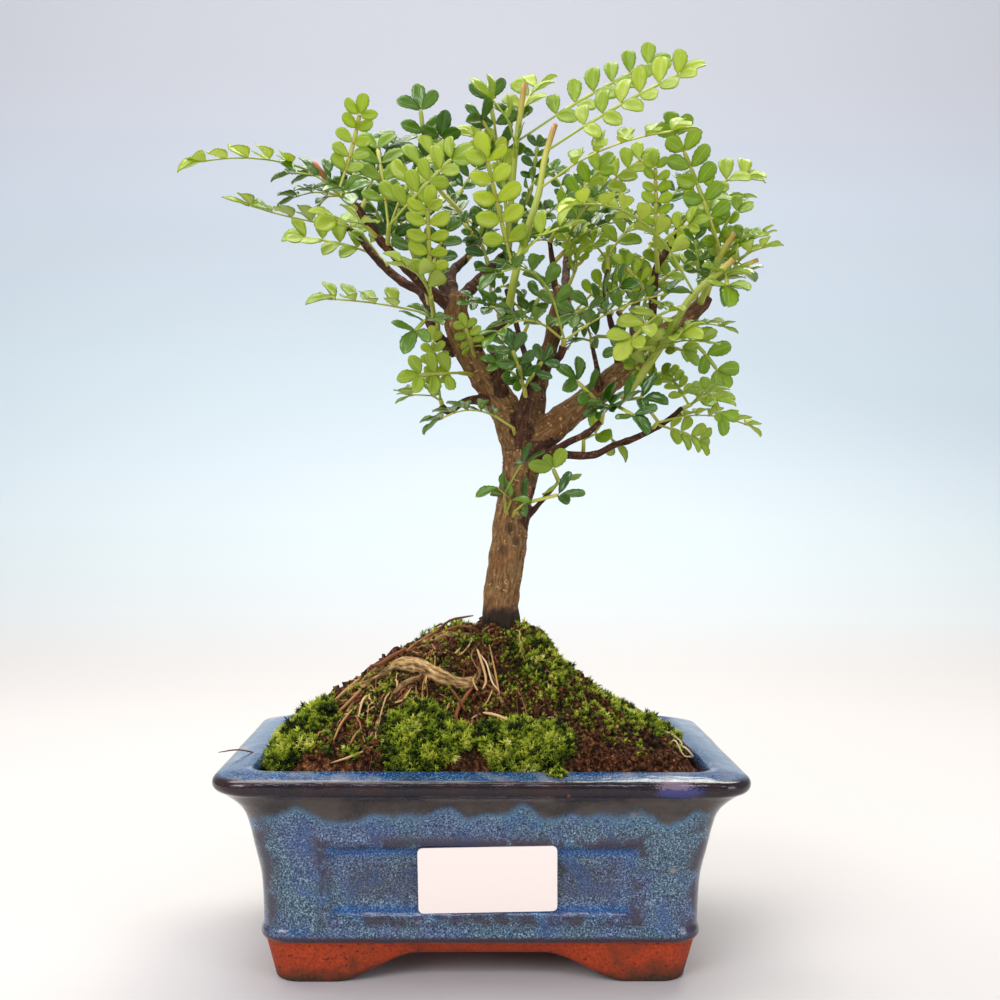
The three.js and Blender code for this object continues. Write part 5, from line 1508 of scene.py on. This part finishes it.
         leaves=[[1, 0, 0, 272, 2, 2, 75], [0.8, -4, -4, 264, 2, 2, 60], [0.7, 9, 8, 268, 2, 2, 60]]),
    dict(name="inner_between", tone="mature", radii=[0.7, 0.5], extra=True,
         stem=[[8, 9, 223], [9, 8, 229], [15, 6, 242]],
         leaves=[[1, 17, 4, 258, 3, 4, 65], [0.8, 25, 0, 247, 4, 4, 50], [0.5, 20, 10, 235, 3, 3, 60]]),
    dict(name="inner_between_low", tone="mature", radii=[0.7, 0.5], extra=True,
         stem=[[8, 9, 223], [10, 12, 219], [14, 10, 226]],
         leaves=[[1, 24, 8, 237, 3, 4, 50], [0.8, 17, 14, 239, 3, 3, 70], [0.6, 25, 4, 223, 4, 4, 30]]),
    dict(name="inner_left_low", tone="mature", radii=[0.8, 0.5], extra=True,
         stem=[[-6, 13, 220], [-2, 10, 225]],
         leaves=[[1, 3, 6, 237, 3, 4, 60], [0.8, -9, 8, 232, 3, 3, 60], [0.6, 5, 2, 222, 3, 3, 40]]),
    dict(name="inner_fork", tone="mature", radii=[0.7, 0.5], extra=True,
         stem=[[-3, 0, 210], [1, 2, 205], [2, 6, 212]],
         leaves=[[1, -2, 8, 226, 3, 3, 70], [0.8, 12, 8, 219, 4, 4, 45], [0.6, 10, 4, 208, 3, 3, 40]]),
    dict(name="inner_fork_low", tone="mature", radii=[0.7, 0.5], extra=True,
         stem=[[12, 7, 193], [15, 10, 200]],
         leaves=[[1, 21, 12, 212, 3, 3, 60], [0.8, 7, 14, 207, 3, 3, 50]]),
    dict(name="inner_mid", tone="young", radii=[0.7, 0.5], extra=True,
         stem=[[26, 10, 207], [30, 8, 217]],
         leaves=[[1, 25, 4, 227, 3, 4, 60], [0.8, 38, 0, 224, 4, 4, 50]]),
    dict(name="inner_right", tone="mature", radii=[0.6, 0.5], extra=True,
         stem=[[34, -6, 189], [34, -2, 193]],
         leaves=[[1, 24, -6, 197, 3, 3, 45], [0.8, 41, -4, 192, 2, 2, 60], [0.6, 28, 4, 191, 2, 3, 60]]),
    dict(name="inner_right_top", tone="young", radii=[0.8, 0.5], extra=True,
         stem=[[51, 16, 196], [55, 18, 211]],
         leaves=[[1, 40, 20, 223, 4, 4, 60], [0.8, 61, 24, 227, 3, 4, 50],
                 [0.6, 60, 10, 206, 2, 3, 60]]),
    dict(name="inner_right_side", tone="mature", radii=[0.8, 0.5], extra=True,
         stem=[[68, 6, 202], [71, 8, 213]],
         leaves=[[1, 83, 10, 219, 4, 4, 40], [0.8, 69, 12, 230, 3, 4, 60]]),
    dict(name="inner_right_young", tone="young", radii=[0.8, 0.5], extra=True,
         stem=[[73, 6, 208], [74, -4, 216], [75, -4, 223]],
         leaves=[[1, 82, -8, 234, 3, 3, 40], [0.8, 69, -2, 235, 3, 3, 60],
                 [0.6, 84, -2, 226, 2, 3, 30]]),
    dict(name="inner_low", tone="young", radii=[0.7, 0.5], extra=True,
         stem=[[51, 4, 188], [54, -10, 188], [57, -12, 190]],
         leaves=[[1, 66, -18, 193, 3, 4, 40], [0.8, 49, -8, 198, 3, 3, 60],
                 [0.6, 64, -14, 186, 3, 3, 50]]),
    dict(name="inner_low_side", tone="young", radii=[0.6, 0.5], extra=True,
         stem=[[55, -10, 165], [50, -6, 174], [52, -8, 177]],
         leaves=[[1, 46, -10, 184, 2, 3, 70], [0.8, 58, -12, 180, 3, 3, 50]]),
    dict(name="inner_left_back", tone="mature", radii=[0.8, 0.5], extra=True,
         stem=[[-28, -10, 216], [-31, -4, 222]],
         leaves=[[1, -43, 0, 240, 4, 4, 40], [0.8, -36, 4, 233, 3, 4, 50],
                 [0.6, -27, -2, 235, 3, 3, 60]]),
    dict(name="inner_left_side", tone="mature", radii=[0.7, 0.5], extra=True,
         stem=[[-41, -14, 232], [-44, -8, 235]],
         leaves=[[1, -58, -8, 241, 4, 3, 30], [0.8, -53, -6, 232, 3, 3, 45],
                 [0.6, -41, -4, 246, 3, 3, 60]]),
    dict(name="inner_behind", tone="mature", radii=[0.8, 0.5], extra=True,
         stem=[[28, 27, 220], [33, 24, 222], [37, 24, 233]],
         leaves=[[1, 31, 20, 250, 4, 4, 50], [0.8, 47, 26, 247, 4, 4, 40],
                 [0.6, 27, 28, 235, 3, 4, 60]]),
]
leaf = {
    "firstPair": 0.24,
    "lastPair": 0.8,
    # A leaflet's length, in gaps between the pairs, and its limits in millimetres
    "overlap": 1.45,
    "longest": 8.2,
    "shortest": 4.5,
    "width": 0.64,
    "narrow": 0.54,
    "thick": 0.03,
    "stalk": 0.42,
    "wing": 0.72,
    "stalkDepth": 0.38,
    "wingDepth": 0.27,
    "pinch": 0.6,
    # Fold, curl and twist of each of the four kinds of leaflet
    "bends": ((0.24, 0.1, 0.0), (0.34, 0.2, 0.12), (0.12, 0.04, -0.14), (0.3, 0.28, 0.05)),
    # Young leaves this far in front are made paler by frontShade, as painted light
    "frontFrom": -27,
    "frontShade": 0.32,
    "redLength": 24,
}


# A leaflet one unit long and wide, its foot at the origin and its tip up +Y: rounded, widest past the
# middle, folded along its rib and with a finely waved edge
def leafletPart(fold, curl, twist):
    bm = bmesh.new()
    bmesh.ops.create_grid(bm, x_segments=4, y_segments=14, size=1)
    layer = bm.verts.layers.float_vector.new("place")
    # The outline's own greatest value, so that the leaflet is one unit wide there
    widest = 0.62**0.75 * 0.38**0.45
    for vert in bm.verts:
        across = vert.co.x
        row = (vert.co.y + 1) / 2
        along = 0.5 - 0.5 * math.cos(math.pi * (0.06 + 0.94 * row)) if row > 0 else 0
        wave = 1 + (0.05 if int(round(row * 14)) % 2 else -0.04) * (abs(across) > 0.9)
        half = 0.5 * (along**0.75 * (1 - along) ** 0.45 / widest if 0 < along < 1 else 0.0) * wave
        x = across * max(half, 0.015)
        lift = fold * abs(x) - curl * along**2 + twist * across * half * (along - 0.3)
        lift += 0.02 * math.sin(9 * along + 2 * across)
        vert.co = (x, along, lift)
        vert[layer] = (across, along, 1)
    bmesh.ops.remove_doubles(bm, verts=bm.verts, dist=0.004)
    top = set(bm.verts)
    bmesh.ops.recalc_face_normals(bm, faces=bm.faces)
    if sum(face.normal.z for face in bm.faces) < 0:
        bmesh.ops.reverse_faces(bm, faces=bm.faces)
    bmesh.ops.solidify(bm, geom=bm.faces[:], thickness=leaf["thick"])
    lowest = {v for v in bm.verts if v not in top}
    for vert in lowest:
        vert[layer] = (vert[layer].x, vert[layer].y, 0)
    return partOf(bm)


def leafCurve(foot, row):
    _, x, y, z, arch, _, face = row
    tip = Vector((x, y, z))
    chord = tip - foot
    turn = math.radians(face)
    across = chord.cross(Vector((0, -math.sin(turn), math.cos(turn)))).normalized()
    outward = across.cross(chord).normalized()
    crown = (foot + tip) / 2 + outward * 2 * arch

    def at(t):
        place = foot * (1 - t) ** 2 + crown * 2 * t * (1 - t) + tip * t**2
        tangent = ((crown - foot) * (1 - t) + (tip - crown) * t).normalized()
        return place, tangent

    return at, across


def makeSprays():
    leaflets = [leafletPart(*bends) for bends in leaf["bends"]]
    count = 0
    for spray in sprays:
        heap = newHeap()
        young = spray["tone"] == "young"
        stem = spray["stem"]
        steps = smoothPath(stem, 4 * len(stem) + 2)
        places = [p for p, _ in steps]
        share = [k / (len(places) - 1) for k in range(len(places))]
        radii = [spray["radii"][0] + (spray["radii"][1] - spray["radii"][0]) * t for t in share]
        bm = bmesh.new()
        growRings(bm, circleRings(places, radii, 8))
        shoot = partOf(bm)
        tipShade = spray.get("redTip", 0.72 if len(stem) > 2 and young else 0.35)
        along = np.linalg.norm(shoot["verts"] - np.array(places[-1]), axis=1)
        reddened = np.clip(1 - along / spray.get("redLength", leaf["redLength"]), 0, 1) ** 1.6
        shoot["shades"] = 0.2 + (tipShade - 0.2) * reddened
        addCopy(heap, shoot, None, 0.0 if young else 0.12, 1)
        for row in spray["leaves"]:
            spot = row[0] * (len(places) - 1)
            low = min(int(spot), len(places) - 2)
            foot = places[low].lerp(places[low + 1], spot - low)
            at, across = leafCurve(foot, row)
            table = [at(k / 40)[0] for k in range(41)]
            reached = np.concatenate([[0], np.cumsum([(b - a).length for a, b in zip(table, table[1:])])])
            length = reached[-1]

            def curveAt(part):
                return at(float(np.interp(part * length, reached, np.linspace(0, 1, 41))))

            pairs = row[5]
            first, lastOne = leaf["firstPair"], leaf["lastPair"]
            spacing = (lastOne - first) * length / max(pairs - 1, 1)
            size = min(max(leaf["overlap"] * spacing, leaf["shortest"]), leaf["longest"])
            # Painted light: young leaves in front get a paler shade
            inFront = young and row[2] < leaf["frontFrom"]
            leafShade = dice.uniform(0.0, 0.6) + (leaf["frontShade"] if inFront else 0)
            joints = [first + (lastOne - first) * k / max(pairs - 1, 1) for k in range(pairs)]

            # The stalk, winged between the pairs and pinched at each joint
            sections = []
            pinch = min(leaf["pinch"], spacing / 3) / length
            pinched = {joint + pinch for joint in joints[:-1]} | {joint - pinch for joint in joints[1:]}
            stops = sorted({0.0, 0.8 / length, first - pinch, lastOne + 0.01} | set(joints) | pinched)
            for part in stops:
                place, tangent = curveAt(part)
                normal = across.cross(tangent).normalized()
                winged = part > first and not any(abs(part - joint) < 0.004 for joint in joints)
                half = leaf["wing"] if winged else leaf["stalk"]
                thin = leaf["wingDepth"] if winged else leaf["stalkDepth"]
                sections.append([
                    place + across * half * math.cos(t) + normal * thin * math.sin(t)
                    for t in [math.pi / 3 * k for k in range(6)]
                ])
            bm = bmesh.new()
            growRings(bm, sections)
            stalk = partOf(bm)
            joined = np.array([curveAt(joint)[0][:] for joint in joints + [lastOne]])
            nearest = np.linalg.norm(stalk["verts"][:, None] - joined[None], axis=2).min(axis=1)
            stalk["shades"] = np.where(nearest < 0.5, 0.5, 0.1)
            addCopy(heap, stalk, None, 0.25 * dice.random(), 1)

            # Which side of the stalk its face is on, from how far the face turns to the front
            turnFace = math.radians(row[6])
            _, tangent = curveAt(0.5)
            facing = Vector((0, -math.sin(turnFace), math.cos(turnFace)))
            faceSign = -1 if across.cross(tangent).dot(facing) < 0 else 1

            def addLeaflet(part, turn, side, long, lift):
                place, tangent = curveAt(part)
                normal = across.cross(tangent).normalized()
                direction = (tangent * math.cos(turn) + across * side * math.sin(turn)).normalized()
                direction = (direction + normal * faceSign * math.tan(lift)).normalized()
                roll = dice.gauss(0, math.radians(11))
                up = (normal * faceSign - direction * direction.dot(normal * faceSign)).normalized()
                right = direction.cross(up)
                up = (up * math.cos(roll) + right * math.sin(roll)).normalized()
                right = direction.cross(up)
                wide = long * leaf["width" if young else "narrow"] * spray.get("slim", 1)
                wide *= dice.uniform(0.9, 1.06)
                matrix = Matrix((right * wide, direction * long, up * long)).transposed().to_4x4()
                matrix.translation = place + direction * (0.5 if turn and abs(turn) > 0.3 else 0.2)
                shade = leafShade + dice.gauss(0, 0.09)
                addCopy(heap, dice.choice(leaflets), matrix, min(max(shade, 0), 1), 0)

            for k, joint in enumerate(joints):
                grow = 0.86 + 0.14 * math.sin(math.pi * (k + 0.8) / (pairs + 0.4))
                for side in (-1, 1):
                    turn = math.radians(66 - 16 * k / pairs + dice.gauss(0, 5))
                    lift = math.radians(dice.uniform(14, 34))
                    addLeaflet(joint, turn, side, size * grow * dice.uniform(0.93, 1.04), lift)
            endLong = min(size * 1.05, (1.06 - lastOne) * length + 2.5)
            addLeaflet(lastOne + 0.01, math.radians(dice.gauss(0, 5)), 1, endLong, 0)
            count += 1
        name = "leaves_" + spray["name"]
        skins = [leafSkin[spray["tone"]], shootSkin]
        nodes = [] if "extra" in spray else ["spray_" + spray["name"]]
        keepPiece(name, heapMesh(name, heap), skins, nodes)
    print("sprays made,", count, "leaves")


# A sweep of studio paper, in metres: flat floor, bend and wall, with the colour it has at each height, which
# is painted light and shade: greyer on the floor, paler and bluer up the wall
stage = {
    "front": -2.5,
    "bendFrom": 0.5,
    "bend": 1.8,
    "top": 3.2,
    "halfWidth": 4,
    "colours": [
        (0.0, "#b8b5b5"), (0.03, "#bec3c7"), (0.07, "#c5ced2"), (0.11, "#cbd6db"), (0.18, "#d2dde4"),
        (0.34, "#d7e5ec"), (0.7, "#e0e8f1"), (1.0, "#e3e3e9"),
    ],
}


def studioPaperLook(node):
    height = node("SeparateXYZ", node("TexCoord").outputs["Object"]).outputs[2]
    # Painted light and shade: the paper's colour changes with height to set how bright each part of the sweep
    # looks
    colour = node("ValToRGB", height, stops=stage["colours"])
    return node("BsdfPrincipled", {"Base Color": colour, "Roughness": 0.9})


def makeStage():
    bm = bmesh.new()
    start, bend = stage["bendFrom"], stage["bend"]
    profile = [(stage["front"], 0), (start, 0)]
    turns = np.linspace(0.06, math.pi / 2, 24)
    profile += [(start + bend * math.sin(t), bend - bend * math.cos(t)) for t in turns]
    profile.append((start + bend, stage["top"]))
    verts = [bm.verts.new((-stage["halfWidth"], y, z)) for y, z in profile]
    edges = [bm.edges.new(pair) for pair in zip(verts, verts[1:])]
    made = bmesh.ops.extrude_edge_only(bm, edges=edges)["geom"]
    moved = [g for g in made if isinstance(g, bmesh.types.BMVert)]
    bmesh.ops.translate(bm, vec=(2 * stage["halfWidth"], 0, 0), verts=moved)
    bmesh.ops.recalc_face_normals(bm, faces=bm.faces)
    mesh = bpy.data.meshes.new("studio_sweep")
    bm.to_mesh(mesh)
    bm.free()
    mesh.polygons.foreach_set("use_smooth", [True] * len(mesh.polygons))
    sweep = bpy.data.objects.new("studio_sweep", mesh)
    scene.collection.objects.link(sweep)
    mesh.materials.append(makeMaterial("studio_paper", studioPaperLook))


# Softboxes: place, the point each one faces, its sides in metres, and its power
lights = [
    dict(name="overhead", place=(-0.2, 0.15, 1.0), aim=(0, 0, 0.2), size=(0.9, 0.8),
         power=11.5, colour="#fffaf2"),
    dict(name="front_left", place=(-0.8, -1.0, 0.75), aim=(0, 0, 0.12), size=(0.8, 0.6),
         power=11, colour="#ffffff"),
    dict(name="front_right", place=(0.95, -0.8, 0.45), aim=(0, 0, 0.1), size=(0.5, 0.8),
         power=5, colour="#f3f6ff"),
    dict(name="front_strip", place=(0, -1.1, 1.15), aim=(0, 0, 0.06), size=(1.6, 0.06),
         power=5, colour="#f0eaff"),
    dict(name="behind", place=(0.4, 0.6, 1.05), aim=(0, 0, 0.2), size=(0.6, 0.5),
         power=8, colour="#fffbe8"),
    dict(name="backdrop", place=(0, 0.7, 2.0), aim=(0, 2.1, 0.8), size=(2.4, 0.5),
         power=13, colour="#ffffff"),
]


air = {"colour": "#eef2f8", "strength": 0.5}


def makeLights():
    for setup in lights:
        data = bpy.data.lights.new(setup["name"], "AREA")
        data.shape = "RECTANGLE"
        data.size, data.size_y = setup["size"]
        data.energy = setup["power"]
        data.color = linear(setup["colour"])[:3]
        lamp = bpy.data.objects.new(setup["name"], data)
        lamp.location = setup["place"]
        aim = Vector(setup["aim"]) - Vector(setup["place"])
        lamp.rotation_euler = aim.to_track_quat("-Z", "Y").to_euler()
        scene.collection.objects.link(lamp)
    world = bpy.data.worlds.new("studio_air")
    world.use_nodes = True
    background = world.node_tree.nodes["Background"]
    background.inputs["Color"].default_value = linear(air["colour"])
    background.inputs["Strength"].default_value = air["strength"]
    scene.world = world
    scene.view_settings.view_transform = "Standard"


def paintLabel():
    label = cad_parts["label"]
    label.data.materials.clear()
    label.data.materials.append(paper)


makePot()
makeSoil()
makeCrumbs()
makeMoss()
makeWood()
makeLitter()
makeSprays()
paintLabel()
makeStage()
makeLights()
